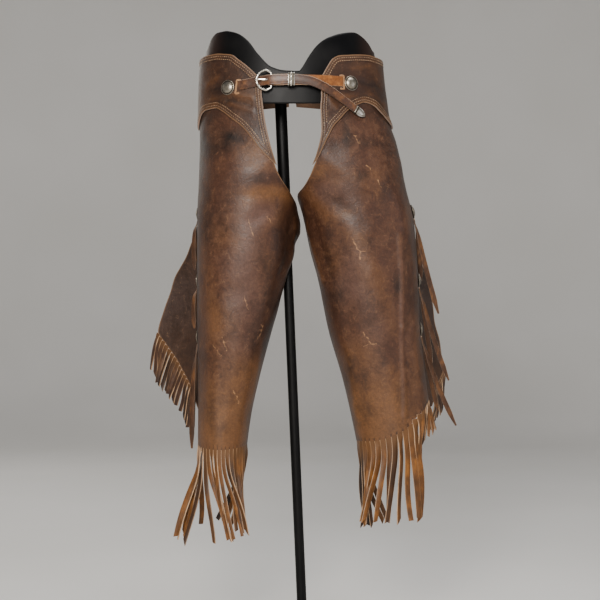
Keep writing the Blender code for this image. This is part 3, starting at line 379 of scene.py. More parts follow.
# Patches of the front by kind: darker (in part oily hide, in part painted shade towards the legs' sides and beside the
# right leg's ridge), worn to a warm tan, or a painted grey-mauve sheen with painted highlights along that ridge; place,
# reach and how strong
PATCH = "kind x height wide tall strength"
PATCHES = table(PATCH, [
    ("dark", -134, 998, 30, 15, 1.0),
    ("dark", -152, 978, 26, 16, 0.6),
    ("dark", -180, 1010, 18, 40, 0.45),
    ("dark", -186, 860, 16, 110, 0.55),
    ("dark", -80, 918, 20, 10, 0.45),
    ("dark", -44, 812, 16, 62, 0.75),
    ("dark", -66, 700, 14, 60, 0.6),
    ("dark", -150, 840, 22, 34, 0.3),
    ("dark", -126, 772, 20, 16, 0.35),
    ("dark", -86, 612, 26, 30, 0.6),
    ("dark", -170, 560, 16, 50, 0.25),
    ("dark", -150, 452, 14, 12, 0.4),
    ("dark", -150, 500, 22, 14, 0.35),
    ("dark", -118, 470, 16, 18, 0.3),
    ("dark", -176, 470, 10, 40, 0.35),
    ("dark", -112, 560, 18, 16, 0.3),
    ("warm", -92, 968, 26, 18, 0.85),
    ("warm", -60, 893, 36, 17, 1.1),
    ("warm", -100, 888, 22, 13, 0.7),
    ("warm", -84, 940, 30, 10, 0.5),
    ("warm", -152, 812, 22, 24, 0.35),
    ("warm", -122, 800, 16, 18, 0.3),
    ("warm", -70, 762, 16, 22, 0.4),
    ("warm", -170, 640, 20, 60, 0.5),
    ("warm", -130, 500, 70, 52, 1.0),
    ("warm", -150, 430, 60, 40, 0.9),
    ("warm", -96, 560, 24, 28, 0.6),
    ("bloom", -84, 852, 24, 24, 0.9),
    ("bloom", -106, 812, 20, 44, 1.0),
    ("bloom", -74, 920, 14, 12, 0.7),
    ("bloom", -122, 756, 32, 32, 0.9),
    ("bloom", -116, 690, 34, 46, 0.9),
    ("bloom", -130, 610, 30, 30, 0.55),
    ("dark", 80, 1002, 9, 24, 0.9),
    ("dark", 112, 988, 26, 14, 0.75),
    ("dark", 60, 974, 26, 12, 0.4),
    ("dark", 110, 924, 16, 9, 0.7),
    ("dark", 152, 905, 16, 30, 0.45),
    ("dark", 74, 1040, 12, 20, 0.4),
    ("dark", 46, 800, 10, 60, 0.4),
    ("dark", 60, 700, 16, 40, 0.7),
    ("dark", 176, 720, 9, 26, 0.7),
    ("dark", 120, 800, 14, 12, 0.3),
    ("dark", 88, 560, 12, 50, 0.4),
    ("dark", 128, 480, 26, 14, 0.35),
    ("dark", 168, 452, 18, 16, 0.35),
    ("dark", 112, 540, 14, 22, 0.3),
    ("dark", 186, 500, 12, 40, 0.35),
    ("dark", 140, 560, 20, 14, 0.3),
    ("warm", 26, 932, 18, 16, 1.0),
    ("warm", 60, 912, 14, 10, 0.5),
    ("warm", 74, 852, 17, 9, 0.95),
    ("warm", 104, 808, 20, 16, 0.45),
    ("warm", 140, 900, 10, 22, 0.4),
    ("warm", 130, 930, 16, 12, 0.5),
    ("warm", 214, 560, 16, 60, 0.35),
    ("warm", 60, 770, 16, 26, 0.4),
    ("warm", 130, 500, 70, 60, 0.9),
    ("warm", 160, 440, 60, 44, 1.0),
    ("warm", 104, 590, 34, 26, 0.5),
    ("bloom", 46, 898, 24, 17, 0.8),
    ("bloom", 84, 890, 16, 26, 0.4),
    ("bloom", 90, 716, 32, 32, 0.7),
    ("bloom", 92, 768, 26, 30, 0.5),
    ("bloom", 184, 690, 4, 120, 0.8),
    ("bloom", 189, 520, 4, 80, 0.6),
    ("bloom", 150, 640, 20, 40, 0.4),
])

# Old scratches of the grain on the front of the legs: both ends and the width
SCAR = "x height to_x to_height width"
SCARS = table(SCAR, [
    (138, 918, 144, 902, 1.6),
    (116, 944, 124, 938, 1.2),
    (95, 1000, 104, 986, 1.4),
    (91, 806, 104, 780, 1.8),
    (104, 780, 112, 784, 1.3),
    (104, 780, 106, 768, 1.3),
    (112, 630, 124, 610, 1.8),
    (124, 610, 136, 608, 1.5),
    (124, 610, 112, 604, 1.3),
    (-80, 646, -86, 618, 2.0),
    (-154, 622, -146, 596, 1.4),
    (-172, 606, -160, 588, 1.4),
    (-134, 520, -122, 494, 1.3),
    (-70, 850, -62, 836, 1.2),
    (-104, 840, -96, 812, 1.2),
    (-112, 700, -104, 672, 1.2),
])

# Hang of each hem's fringe by angle: how far the tips fall to the right and to the back, and
# how long the strips are
HANG = "angle right back long"
LEFT_HANG = table(HANG, [
    (-20, -16, 24, 176), (0, -27, 8, 182), (20, -35, -6, 186), (38, -26, -12, 186), (46, -4, -16, 182),
    (53, 34, -20, 176), (64, 50, -16, 172), (78, 34, -14, 170), (96, 22, -12, 168), (120, 14, -8, 162),
    (150, -8, 6, 164), (175, -34, 14, 166), (196, -56, 22, 168),
])
RIGHT_HANG = table(HANG, [
    (-8, 8, 8, 70), (22, 5, 0, 72), (43, -1, -4, 76), (46, -4, -5, 184), (56, 2, -9, 190),
    (66, 4, -10, 176), (76, 2, -12, 174), (86, -14, -14, 170), (94, -36, -16, 168), (106, -30, -12, 166),
    (122, -20, -8, 162), (150, 6, 2, 164), (180, 34, 12, 168), (204, 58, 20, 170),
])

# shade and shade_to: how strong the painted shade on a leg's outer side is, and the angle it reaches to
LEFT = dict(name="left", side=-1, ovals=LEFT_OVALS, edges=LEFT_EDGES, top=LEFT_TOP, hem=LEFT_HEM,
            wing=LEFT_WING, ribs=LEFT_RIBS, corner=628.0, fringe_low=500.0, wing_lean=0.26, strip=66.0,
            crease=None, shade=0.75, shade_to=34.0, creases=LEFT_CREASES, hang=LEFT_HANG, narrow=None)
RIGHT = dict(name="right", side=1, ovals=RIGHT_OVALS, edges=RIGHT_EDGES, top=RIGHT_TOP, hem=RIGHT_HEM,
             wing=RIGHT_WING, ribs=RIGHT_RIBS, corner=556.0, fringe_low=492.0, wing_lean=-0.12, strip=56.0,
             crease=42.0, shade=0.6, shade_to=58.0, creases=RIGHT_CREASES, hang=RIGHT_HANG, narrow=44.0)


# Finishes

FACTOR = 0                 # a Mix node's sockets for colours
FIRST = 6
SECOND = 7
MIXED = 2


def hex_colour(code):
    """sRGB hex code as a linear colour."""
    parts = [int(code[i:i + 2], 16) / 255 for i in (1, 3, 5)]
    return tuple(v / 12.92 if v <= 0.04045 else ((v + 0.055) / 1.055) ** 2.4 for v in parts) + (1.0,)


def per_metre(size):
    """Texture scale that gives features of this size in millimetres."""
    return 1.0 / (size * MILLIMETRE)


def add(material, kind, inputs=None, stops=None, **settings):
    """Adds a shader node with its settings, its sockets' values or links, and a ramp's stops."""
    tree = material.node_tree
    made = tree.nodes.new("ShaderNode" + kind)
    for name, value in settings.items():
        setattr(made, name, value)
    for name, value in (inputs or {}).items():
        if isinstance(value, bpy.types.NodeSocket):
            tree.links.new(value, made.inputs[name])
        else:
            made.inputs[name].default_value = value
    if stops:
        ramp = made.color_ramp
        ramp.elements[0].position, ramp.elements[0].color = stops[0]
        ramp.elements[1].position, ramp.elements[1].color = stops[-1]
        for place, shade in stops[1:-1]:
            ramp.elements.new(place).color = shade
    return made


def new_material(name, **values):
    """Material with a Principled shader; values are its own sockets by name."""
    material = bpy.data.materials.new(name)
    material.use_nodes = True
    shader = material.node_tree.nodes["Principled BSDF"]
    for socket, value in values.items():
        shader.inputs[socket.replace("_", " ")].default_value = value
    return material, shader


def connect(material, shader, **sources):
    """Links the shader's sockets, named with _ for a space."""
    for socket, source in sources.items():
        material.node_tree.links.new(source, shader.inputs[socket.replace("_", " ")])


def grain_leather(name, shade, tan, oil_and_shade, bloom, roughness, scars=()):
    """Vegetable-tanned cowhide, oiled and worn: cloudy brown with warm rubbed places, dark places that
    are in part oily hide and in part painted shade, and a painted grey-mauve sheen; soft gloss, pores and fine
    scratches."""
    material, shader = new_material(name, IOR=1.45, Specular_IOR_Level=0.4)
    place = add(material, "TexCoord").outputs["Object"]
    cloud = add(material, "TexNoise", {"Vector": place, "Scale": per_metre(62), "Detail": 5.0,
                                       "Roughness": 0.6, "Distortion": 0.4}).outputs["Fac"]
    mottle = add(material, "TexNoise", {"Vector": place, "Scale": per_metre(15), "Detail": 6.0,
                                        "Roughness": 0.68, "Distortion": 0.8}).outputs["Fac"]
    speck = add(material, "TexNoise", {"Vector": place, "Scale": per_metre(5), "Detail": 4.0,
                                       "Roughness": 0.7}).outputs["Fac"]
    marks = {kind: add(material, "Attribute", attribute_name=kind).outputs["Fac"]
             for kind in ("warm", "dark", "bloom", "edge")}

    # Cloudy sum of two noises round zero, which breaks up each patch's outline
    broken = add(material, "Math", {0: cloud, 1: mottle}, operation="ADD").outputs[0]
    broken = add(material, "Math", {0: broken, 1: -1.0}, operation="ADD").outputs[0]
    reach = {}
    for kind, gain, bias in (("warm", 1.25, 0.06), ("dark", 1.15, -0.08), ("bloom", 1.2, -0.04)):
        rough_edge = add(material, "Math", {0: broken, 1: -gain if kind == "dark" else gain,
                                            2: marks[kind]}, operation="MULTIPLY_ADD").outputs[0]
        reach[kind] = add(material, "MapRange", {"Value": rough_edge, "From Min": -bias,
                                                 "From Max": 1.15 - bias}).outputs[0]
    body = add(material, "Mix", {FACTOR: reach["warm"], FIRST: hex_colour(shade), SECOND: hex_colour(tan)},
               data_type="RGBA").outputs[MIXED]
    # Painted grey-mauve sheen, then the darkest tone, which is oily hide in places and painted shade in others
    body = add(material, "Mix", {FACTOR: reach["bloom"], FIRST: body, SECOND: hex_colour(bloom)},
               data_type="RGBA").outputs[MIXED]
    body = add(material, "Mix", {FACTOR: reach["dark"], FIRST: body, SECOND: hex_colour(oil_and_shade)},
               data_type="RGBA").outputs[MIXED]
    tint = add(material, "ValToRGB", {"Fac": speck}, stops=[
        (0.30, hex_colour("#7c7068")), (0.5, hex_colour("#bcb4ae")), (0.72, hex_colour("#fff6ec"))])
    body = add(material, "Mix", {FACTOR: 0.5, FIRST: body, SECOND: tint.outputs[0]},
               data_type="RGBA", blend_type="MULTIPLY").outputs[MIXED]

    # Wispy veins and rubs: the middle line of a stretched noise, seen only here and there
    stretched = add(material, "Mapping", {"Vector": place, "Scale": (1.0, 1.0, 0.55)}).outputs[0]
    vein = add(material, "TexNoise", {"Vector": stretched, "Scale": per_metre(17), "Detail": 3.0,
                                      "Distortion": 1.6}).outputs["Fac"]
    vein = add(material, "Math", {0: vein, 1: 0.5, 2: 0.012}, operation="COMPARE").outputs[0]
    seen = add(material, "MapRange", {"Value": mottle, "From Min": 0.5, "From Max": 0.66}).outputs[0]
    light = add(material, "Math", {0: vein, 1: seen}, operation="MULTIPLY").outputs[0]
    light = add(material, "Math", {0: light, 1: 0.12}, operation="MULTIPLY").outputs[0]
    wander = add(material, "TexNoise", {"Vector": place, "Scale": per_metre(11), "Detail": 3.0}).outputs["Color"]
    wander = add(material, "VectorMath", {0: wander, 1: (0.5, 0.5, 0.5)}, operation="SUBTRACT").outputs[0]
    wander = add(material, "VectorMath", {0: wander, "Scale": 0.014}, operation="SCALE").outputs[0]
    bent = add(material, "VectorMath", {0: place, 1: wander}, operation="ADD").outputs[0]
    flat = add(material, "VectorMath", {0: bent, 1: (1, 0, 1)}, operation="MULTIPLY").outputs[0]
    worn = add(material, "MapRange", {"Value": speck, "From Min": 0.38, "From Max": 0.58}).outputs[0]
    for scar in scars:
        start = Vector((scar["x"], 0, scar["height"])) * MILLIMETRE
        run = Vector((scar["to_x"], 0, scar["to_height"])) * MILLIMETRE - start
        from_start = add(material, "VectorMath", {0: flat, 1: start}, operation="SUBTRACT").outputs[0]
        share = add(material, "VectorMath", {0: from_start, 1: run / run.length_squared},
                    operation="DOT_PRODUCT").outputs["Value"]
        share = add(material, "Clamp", {"Value": share}).outputs[0]
        along = add(material, "VectorMath", {0: run, "Scale": share}, operation="SCALE").outputs[0]
        away = add(material, "VectorMath", {0: from_start, 1: along}, operation="DISTANCE").outputs["Value"]
        line = add(material, "MapRange", {"Value": away, "From Min": 0.0, "To Min": 0.5, "To Max": 0.0,
                                          "From Max": scar["width"] * MILLIMETRE}).outputs[0]
        line = add(material, "Math", {0: line, 1: worn}, operation="MULTIPLY").outputs[0]
        light = add(material, "Math", {0: light, 1: line}, operation="MAXIMUM").outputs[0]
    body = add(material, "Mix", {FACTOR: light, FIRST: body, SECOND: hex_colour("#b98d63")},
               data_type="RGBA").outputs[MIXED]
    rubbed = add(material, "MapRange", {"Value": marks["edge"], "From Min": 0.4, "From Max": 3.2,
                                        "To Min": 0.45, "To Max": 0.0}).outputs[0]
    body = add(material, "Mix", {FACTOR: rubbed, FIRST: body, SECOND: hex_colour("#94704e")},
               data_type="RGBA").outputs[MIXED]
    gloss = add(material, "MapRange", {"Value": mottle, "From Min": 0.3, "From Max": 0.7,
                                       "To Min": roughness - 0.07, "To Max": roughness + 0.1}).outputs[0]

    # Pores are near 0.3 mm in real hide, too fine to show, so they are drawn 2.2 mm apart
    pores = add(material, "TexVoronoi", {"Vector": place, "Scale": per_metre(2.2)}).outputs["Distance"]
    bump = add(material, "Bump", {"Height": pores, "Strength": 0.35, "Distance": 0.0003}).outputs[0]
    bump = add(material, "Bump", {"Height": speck, "Strength": 0.45, "Distance": 0.0006,
                                  "Normal": bump}).outputs[0]
    bump = add(material, "Bump", {"Height": mottle, "Strength": 0.4, "Distance": 0.0017,
                                  "Normal": bump}).outputs[0]
    connect(material, shader, Base_Color=body, Roughness=gloss, Normal=bump)
    return material


def plain_leather(name, shade, rubbed, roughness, coat=0.0, streak=1.0):
    """Strap and fringe leather: even colour with streaks along the cut and rubbed lighter places; fringe strips take
    painted shade, darker still at their roots.
    """
    material, shader = new_material(name, IOR=1.42, Specular_IOR_Level=0.4, Coat_Weight=coat, Coat_Roughness=0.3)
    place = add(material, "TexCoord").outputs["Object"]
    pulled = add(material, "Mapping", {"Vector": place, "Scale": (1.0, 1.0, 0.3)}).outputs[0]
    streaks = add(material, "TexNoise", {"Vector": pulled if streak else place, "Scale": per_metre(6),
                                         "Detail": 6.0, "Roughness": 0.65, "Distortion": 0.4}).outputs["Fac"]
    clouds = add(material, "TexNoise", {"Vector": place, "Scale": per_metre(34), "Detail": 3.0}).outputs["Fac"]
    total = add(material, "Math", {0: streaks, 1: clouds}, operation="ADD").outputs[0]
    body = add(material, "ValToRGB", {"Fac": add(material, "Math", {0: total, 1: 0.5}, operation="MULTIPLY")
                                      .outputs[0]},
               stops=[(0.34, tuple(c * 0.42 for c in hex_colour(shade)[:3]) + (1.0,)),
                      (0.5, hex_colour(shade)), (0.66, hex_colour(rubbed))]).outputs[0]
    # Painted shade: whole strips darker, then darker again near the roots of fringe strips
    deep = add(material, "Attribute", attribute_name="dark").outputs["Fac"]
    body = add(material, "Mix", {FACTOR: deep, FIRST: body, SECOND: hex_colour("#1f130c")},
               data_type="RGBA").outputs[MIXED]
    root = add(material, "Attribute", attribute_name="bloom").outputs["Fac"]
    body = add(material, "Mix", {FACTOR: root, FIRST: body, SECOND: hex_colour("#5d3f24")},
               data_type="RGBA").outputs[MIXED]
    edge = add(material, "Attribute", attribute_name="edge").outputs["Fac"]
    pale = add(material, "MapRange", {"Value": edge, "From Min": 0.1, "From Max": 0.75,
                                      "To Min": 0.55, "To Max": 0.0}).outputs[0]
    body = add(material, "Mix", {FACTOR: pale, FIRST: body, SECOND: hex_colour("#a98560")},
               data_type="RGBA").outputs[MIXED]
    bump = add(material, "Bump", {"Height": streaks, "Strength": 0.4, "Distance": 0.0009}).outputs[0]
    gloss = add(material, "MapRange", {"Value": streaks, "From Min": 0.3, "From Max": 0.7,
                                       "To Min": roughness - 0.08, "To Max": roughness + 0.08}).outputs[0]
    connect(material, shader, Base_Color=body, Roughness=gloss, Normal=bump)
    return material


def fibre_leather(name, shade, pale, roughness):
    """Flesh side or cut edge: matt, brushed fibres without any gloss."""
    material, shader = new_material(name, IOR=1.4, Sheen_Weight=0.25, Sheen_Roughness=0.6)
    place = add(material, "TexCoord").outputs["Object"]
    nap = add(material, "TexNoise", {"Vector": place, "Scale": per_metre(3), "Detail": 6.0,
                                     "Roughness": 0.75}).outputs["Fac"]
    clouds = add(material, "TexNoise", {"Vector": place, "Scale": per_metre(30), "Detail": 3.0}).outputs["Fac"]
    mixed = add(material, "Math", {0: nap, 1: clouds}, operation="ADD").outputs[0]
    body = add(material, "MapRange", {"Value": mixed, "From Min": 0.75, "From Max": 1.25}).outputs[0]
    body = add(material, "Mix", {FACTOR: body, FIRST: hex_colour(shade), SECOND: hex_colour(pale)},
               data_type="RGBA").outputs[MIXED]
    bump = add(material, "Bump", {"Height": nap, "Strength": 0.5, "Distance": 0.0008}).outputs[0]
    shader.inputs["Roughness"].default_value = roughness
    connect(material, shader, Base_Color=body, Normal=bump)
    return material


def waxed_thread():
    """Linen thread, waxed: two plies twisted, light tan and slightly shiny."""
    material, shader = new_material("waxed_linen_thread", Roughness=0.5, IOR=1.45)
    place = add(material, "TexCoord").outputs["Object"]
    dirt = add(material, "TexNoise", {"Vector": place, "Scale": per_metre(9), "Detail": 4.0}).outputs["Fac"]
    body = add(material, "ValToRGB", {"Fac": dirt}, stops=[
        (0.3, hex_colour("#54402e")), (0.7, hex_colour("#9b8063"))]).outputs[0]
    connect(material, shader, Base_Color=body)
    return material


def worn_silver(name, bright, dim, hollow, roughness):
    """Nickel silver, stamped and polished by wear: bright on top, dull grey-brown in the hollows."""
    material, shader = new_material(name, Metallic=1.0)
    place = add(material, "TexCoord").outputs["Object"]
    dull = add(material, "Attribute", attribute_name="dark").outputs["Fac"]
    stain = add(material, "TexNoise", {"Vector": place, "Scale": per_metre(5), "Detail": 5.0,
                                       "Roughness": 0.7}).outputs["Fac"]
    reach = add(material, "Math", {0: stain, 1: 0.9, 2: dull}, operation="MULTIPLY_ADD").outputs[0]
    body = add(material, "ValToRGB", {"Fac": reach}, stops=[
        (0.3, hex_colour(bright)), (0.62, hex_colour(dim)), (1.0, hex_colour(hollow))]).outputs[0]
    gloss = add(material, "MapRange", {"Value": reach, "From Min": 0.3, "From Max": 1.0,
                                       "To Min": roughness, "To Max": roughness + 0.3}).outputs[0]
    bump = add(material, "Bump", {"Height": stain, "Strength": 0.25, "Distance": 0.0004}).outputs[0]
    connect(material, shader, Base_Color=body, Roughness=gloss, Normal=bump)
    return material


def satin_black(name, shade, roughness, grit):
    """Moulded or powder-coated black: even, with an orange-peel that softens the highlights, and a painted brown
    reflection where a piece marks it.
    """
    material, shader = new_material(name, IOR=1.4, Specular_IOR_Level=0.2)
    place = add(material, "TexCoord").outputs["Object"]
    peel = add(material, "TexNoise", {"Vector": place, "Scale": per_metre(grit), "Detail": 3.0}).outputs["Fac"]
    dust = add(material, "TexNoise", {"Vector": place, "Scale": per_metre(60), "Detail": 5.0}).outputs["Fac"]
    body = add(material, "ValToRGB", {"Fac": dust}, stops=[
        (0.35, hex_colour(shade)), (0.85, hex_colour("#0c0b0b"))]).outputs[0]
    # Painted reflection: a brown tint where the piece marks it, on the form's sides
    side_reflection = add(material, "Attribute", attribute_name="warm").outputs["Fac"]
    body = add(material, "Mix", {FACTOR: side_reflection, FIRST: body, SECOND: hex_colour("#241611")},
               data_type="RGBA").outputs[MIXED]
    gloss = add(material, "MapRange", {"Value": dust, "From Min": 0.3, "From Max": 0.7,
                                       "To Min": roughness, "To Max": roughness + 0.12}).outputs[0]
    bump = add(material, "Bump", {"Height": peel, "Strength": 0.2, "Distance": 0.0004}).outputs[0]
    connect(material, shader, Base_Color=body, Roughness=gloss, Normal=bump)
    return material


def floor_paint():
    """Pale matt studio floor."""
    material, shader = new_material("pale_studio_floor", Roughness=0.85)
    place = add(material, "TexCoord").outputs["Object"]
    faint = add(material, "TexNoise", {"Vector": place, "Scale": per_metre(700), "Detail": 2.0}).outputs["Fac"]
    body = add(material, "ValToRGB", {"Fac": faint}, stops=[
        (0.3, hex_colour("#d9d7d3")), (0.7, hex_colour("#dfdddA"))]).outputs[0]
    connect(material, shader, Base_Color=body)
    return material


leg_grain = grain_leather("oiled_leg_leather", "#482d1f", "#6c4829", "#190f0a", "#5a4036", 0.45, SCARS)
wing_grain = grain_leather("oiled_wing_leather", "#37251b", "#53361e", "#180f0a", "#413431", 0.45)
yoke_grain = grain_leather("dark_yoke_leather", "#362013", "#5c3a1c", "#180d08", "#3e2a21", 0.46)
fringe_grain = plain_leather("fringe_leather", "#5b3817", "#84531f", 0.52)
dark_fringe = plain_leather("dark_fringe_leather", "#38241a", "#5c3f28", 0.5)
tie_grain = plain_leather("tie_string_leather", "#432a19", "#6e4826", 0.48)
billet_grain = plain_leather("billet_leather", "#41281a", "#684326", 0.42, 0.1, 0.0)
strap_grain = plain_leather("bridle_strap_leather", "#74441d", "#97612f", 0.4, 0.12, 0.0)
flesh_side = fibre_leather("flesh_side_suede", "#4b3525", "#694c35", 0.92)
cut_edge = fibre_leather("pale_cut_edge", "#846448", "#bf9e7c", 0.8)
dark_edge = fibre_leather("burnished_dark_edge", "#6d5140", "#9a7d67", 0.65)
slot_tan = fibre_leather("undyed_slot_lining", "#7b5531", "#9b7148", 0.75)
thread = waxed_thread()
silver = worn_silver("polished_nickel_silver", "#d2cec4", "#9a9386", "#3d362e", 0.2)
pewter = worn_silver("dulled_nickel_silver", "#a8a295", "#7a7266", "#2c2620", 0.27)
form_black = satin_black("satin_black_form", "#020203", 0.36, 1.6)
steel_black = satin_black("black_powder_coat", "#030303", 0.42, 0.9)

LEG_FINISH = (leg_grain, flesh_side, cut_edge)
WING_FINISH = (wing_grain, flesh_side, cut_edge)
YOKE_FINISH = (yoke_grain, flesh_side, dark_edge)
FRINGE_FINISH = (fringe_grain, flesh_side, cut_edge)
DARK_FRINGE_FINISH = (dark_fringe, flesh_side, cut_edge)
TIE_FINISH = (tie_grain, flesh_side, cut_edge)
BILLET_FINISH = (billet_grain, flesh_side, cut_edge)
STRAP_FINISH = (strap_grain, flesh_side, cut_edge)


# Mesh making

STRIP_COLUMNS = np.array([-1.0, -0.84, 0.0, 0.84, 1.0])      # across a strip of fringe

def mesh_piece(name, points, faces, finishes, materials, nodes=(), marks=None, sharp=38.0):
    """One piece from points in millimetres, which rides on the part and stands for its nodes.
    Finishes number each face's material; marks are named values for each point."""
    mesh = bpy.data.meshes.new(name)
    mesh.from_pydata((np.asarray(points) * MILLIMETRE).tolist(), [], faces)
    for material in materials:
        mesh.materials.append(material)
    mesh.polygons.foreach_set("material_index", np.asarray(finishes, dtype=np.int32))
    for mark in ("warm", "dark", "bloom", "edge"):
        values = (marks or {}).get(mark)
        if values is None:
            values = np.full(len(points), 20.0 if mark == "edge" else 0.0)
        mesh.attributes.new(mark, "FLOAT", "POINT").data.foreach_set("value", np.ravel(values))
    body = bmesh.new()
    body.from_mesh(mesh)
    bmesh.ops.recalc_face_normals(body, faces=body.faces)
    body.to_mesh(mesh)
    body.free()
    mesh.shade_smooth()
    mesh.set_sharp_from_angle(angle=math.radians(sharp))
    made = bpy.data.objects.new(name, mesh)
    bpy.context.collection.objects.link(made)
    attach(made, "root")
    if nodes:
        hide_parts(*nodes)
    return made


def sheet_faces(rows, columns, closed=False):
    """Faces between two grids of points that follow each other, with each face's finish: 0 on
    the grain side, 1 on the flesh side and 2 on the cut edge. Closed joins the last column to
    the first."""
    index = np.arange(rows * columns).reshape(rows, columns)
    back = rows * columns
    if closed:
        index = np.hstack([index, index[:, :1]])
        rims = [index[0], index[-1][::-1]]
    else:
        rims = [np.concatenate([index[0, :-1], index[:-1, -1], index[-1, :0:-1], index[:, 0][::-1]])]
    grain = np.stack([index[:-1, :-1], index[:-1, 1:], index[1:, 1:], index[1:, :-1]], -1).reshape(-1, 4)
    flesh = grain[:, ::-1] + back
    edge = np.concatenate([np.stack([rim[:-1], rim[:-1] + back, rim[1:] + back, rim[1:]], -1) for rim in rims])
    faces = np.concatenate([grain, flesh, edge]).tolist()
    return faces, [0] * len(grain) + [1] * len(flesh) + [2] * len(edge)


def sheet_piece(name, outer, inner, materials, nodes=(), marks=None, closed=False, sharp=38.0):
    """Leather sheet between a grid on its grain side and one on its flesh side."""
    faces, finishes = sheet_faces(*outer.shape[:2], closed)
    points = np.concatenate([outer.reshape(-1, 3), inner.reshape(-1, 3)])
    both = {mark: np.tile(np.ravel(values), 2) for mark, values in (marks or {}).items()}
    return mesh_piece(name, points, faces, finishes, materials, nodes, both, sharp)


def joined_sheets(name, sheets, materials, nodes=()):
    """Strips of a fringe as one piece: each has its grain and flesh grids, width and darkness of painted shade; the
    roots get painted shade as well.
    """
    points = []
    faces = []
    finishes = []
    marks = {"edge": [], "dark": [], "bloom": []}
    start = 0
    for outer, inner, wide, dark in sheets:
        from_edge = (1 - np.abs(STRIP_COLUMNS)) * wide / 2
        marks["edge"].append(np.tile(from_edge, 2 * outer.shape[0]))
        marks["dark"].append(np.full(2 * outer.shape[0] * outer.shape[1], dark))
        root_shade = 0.85 * (1 - smooth_step(np.linspace(0, 1, outer.shape[0]), 0.0, 0.3))
        marks["bloom"].append(np.tile(np.repeat(root_shade, outer.shape[1]), 2))
        fresh, kinds = sheet_faces(*outer.shape[:2])
        faces += [[k + start for k in face] for face in fresh]
        finishes += kinds
        points += [outer.reshape(-1, 3), inner.reshape(-1, 3)]
        start += 2 * outer.shape[0] * outer.shape[1]
    marks = {mark: np.concatenate(values) for mark, values in marks.items()}
    return mesh_piece(name, np.concatenate(points), faces, finishes, materials, nodes, marks)


def ring_faces(rings, sides, loop=False):
    """Faces of a skin over rings of points, capped at both ends or joined in a loop."""
    faces = []
    for i in range(rings if loop else rings - 1):
        low = i * sides
        high = ((i + 1) % rings) * sides
        faces += [[low + j, low + (j + 1) % sides, high + (j + 1) % sides, high + j] for j in range(sides)]
    if not loop:
        faces += [list(range(sides))[::-1], list(range((rings - 1) * sides, rings * sides))]
    return faces


def turned_piece(name, profile, centre, axis, material, nodes=(), segments=56, dull=None, sharp=30.0):
    """Piece turned on a lathe: profile rows are radius and height; it starts and ends near the axis."""
    axis = unit(np.asarray(axis, float))
    across = unit(np.cross(axis, [0.3, 0.5, 0.8]))
    other = np.cross(axis, across)
    turn = np.linspace(0, 2 * math.pi, segments, endpoint=False)
    circle = np.cos(turn)[:, None] * across + np.sin(turn)[:, None] * other
    points = np.concatenate([centre + axis * height + circle * max(radius, 0.02) for radius, height in profile])
    faces = ring_faces(len(profile), segments)
    marks = {"dark": np.repeat(dull, segments)} if dull else None
    return mesh_piece(name, points, faces, [0] * len(faces), [material], nodes, marks, sharp)


# Across a strap: which half, how far in from its edge, height as a share of the thickness, and the finish;
# half 1's edge takes the darker flesh finish, painted shade for the billet's lower edge
STRAP_SECTION = table("half inset lift finish", [
    (-1, 0.0, 0.22, 2), (-1, 0.5, 0.47, 0), (-1, 1.7, 0.44, 0), (-1, 2.3, 0.52, 0), (0, 0.0, 0.56, 0),
    (1, 2.3, 0.52, 0), (1, 1.7, 0.44, 0), (1, 0.5, 0.47, 0), (1, 0.0, 0.22, 1),
    (1, 0.0, -0.25, 1), (1, 0.6, -0.5, 1), (-1, 0.6, -0.5, 1), (-1, 0.0, -0.25, 2),
])


def strap_rings(path, faces, widths, thick):
    """Rings of points of a flat strap with creased edges; faces are where its grain side looks."""
    along = unit(np.gradient(path, axis=0))
    side = unit(np.cross(along, faces))
    face = unit(np.cross(side, along))
    rings = []
    for row in STRAP_SECTION:
        inset = np.minimum(row["inset"], widths * 0.2)
        rings.append(path + side * (row["half"] * (widths / 2 - inset))[:, None]
                     + face * (row["lift"] * thick * np.ones(len(path)))[:, None])
    return np.stack(rings, 1)


def strap_piece(name, path, faces, widths, thick, materials, nodes=(), marks=None, sharp=50.0):
    rings = strap_rings(path, faces, widths, thick)
    skin = ring_faces(len(rings), len(STRAP_SECTION))
    finishes = [row["finish"] for row in STRAP_SECTION] * (len(rings) - 1) + [2, 2]
    return mesh_piece(name, rings.reshape(-1, 3), skin, finishes, materials, nodes, marks, sharp)


def smooth_path(points, count):
    """Evenly stepped smooth curve through points: chord-length Catmull-Rom, clamped at both ends."""
    points = np.asarray(points, float)
    run = np.concatenate([[0], np.cumsum(np.linalg.norm(np.diff(points, axis=0), axis=1))])
    slopes = np.gradient(points, run, axis=0)
    fine = np.linspace(0, run[-1], count)
    i = np.clip(np.searchsorted(run, fine, side="right") - 1, 0, len(run) - 2)
    span = (run[i + 1] - run[i])[:, None]
    t = ((fine - run[i])[:, None]) / span
    return ((2 * t ** 3 - 3 * t ** 2 + 1) * points[i] + (t ** 3 - 2 * t ** 2 + t) * span * slopes[i]
            + (3 * t ** 2 - 2 * t ** 3) * points[i + 1] + (t ** 3 - t ** 2) * span * slopes[i + 1])


# Legs and wings

def leg_oval(leg, height):
    return {name: read(leg["ovals"], "height", height, name) for name in OVAL.split()[1:]}


def leg_fold(leg, angle, height):
    """Largest folds of the leg leather, as in the solids."""
    if leg["crease"] is not None:
        reach = smooth_step(height, 420, 560) * (1 - smooth_step(height, 860, 960))
        return reach * (5.0 * np.exp(-((angle - leg["crease"]) / 13) ** 2)
                        - 2.5 * np.exp(-((angle - leg["crease"] - 30) / 16) ** 2))
    reach = smooth_step(height, 400, 520) * (1 - smooth_step(height, 800, 930))
    depth = reach * (3.0 * np.exp(-((angle - 128) / 18) ** 2) - 2.5 * np.exp(-((angle - 88) / 16) ** 2))
    flare = smooth_step(height, 796, 826) * (1 - smooth_step(height, 836, 886))
    return depth + 11.0 * flare * smooth_step(angle, 158, 186) * (1 - smooth_step(angle, 196, 240))


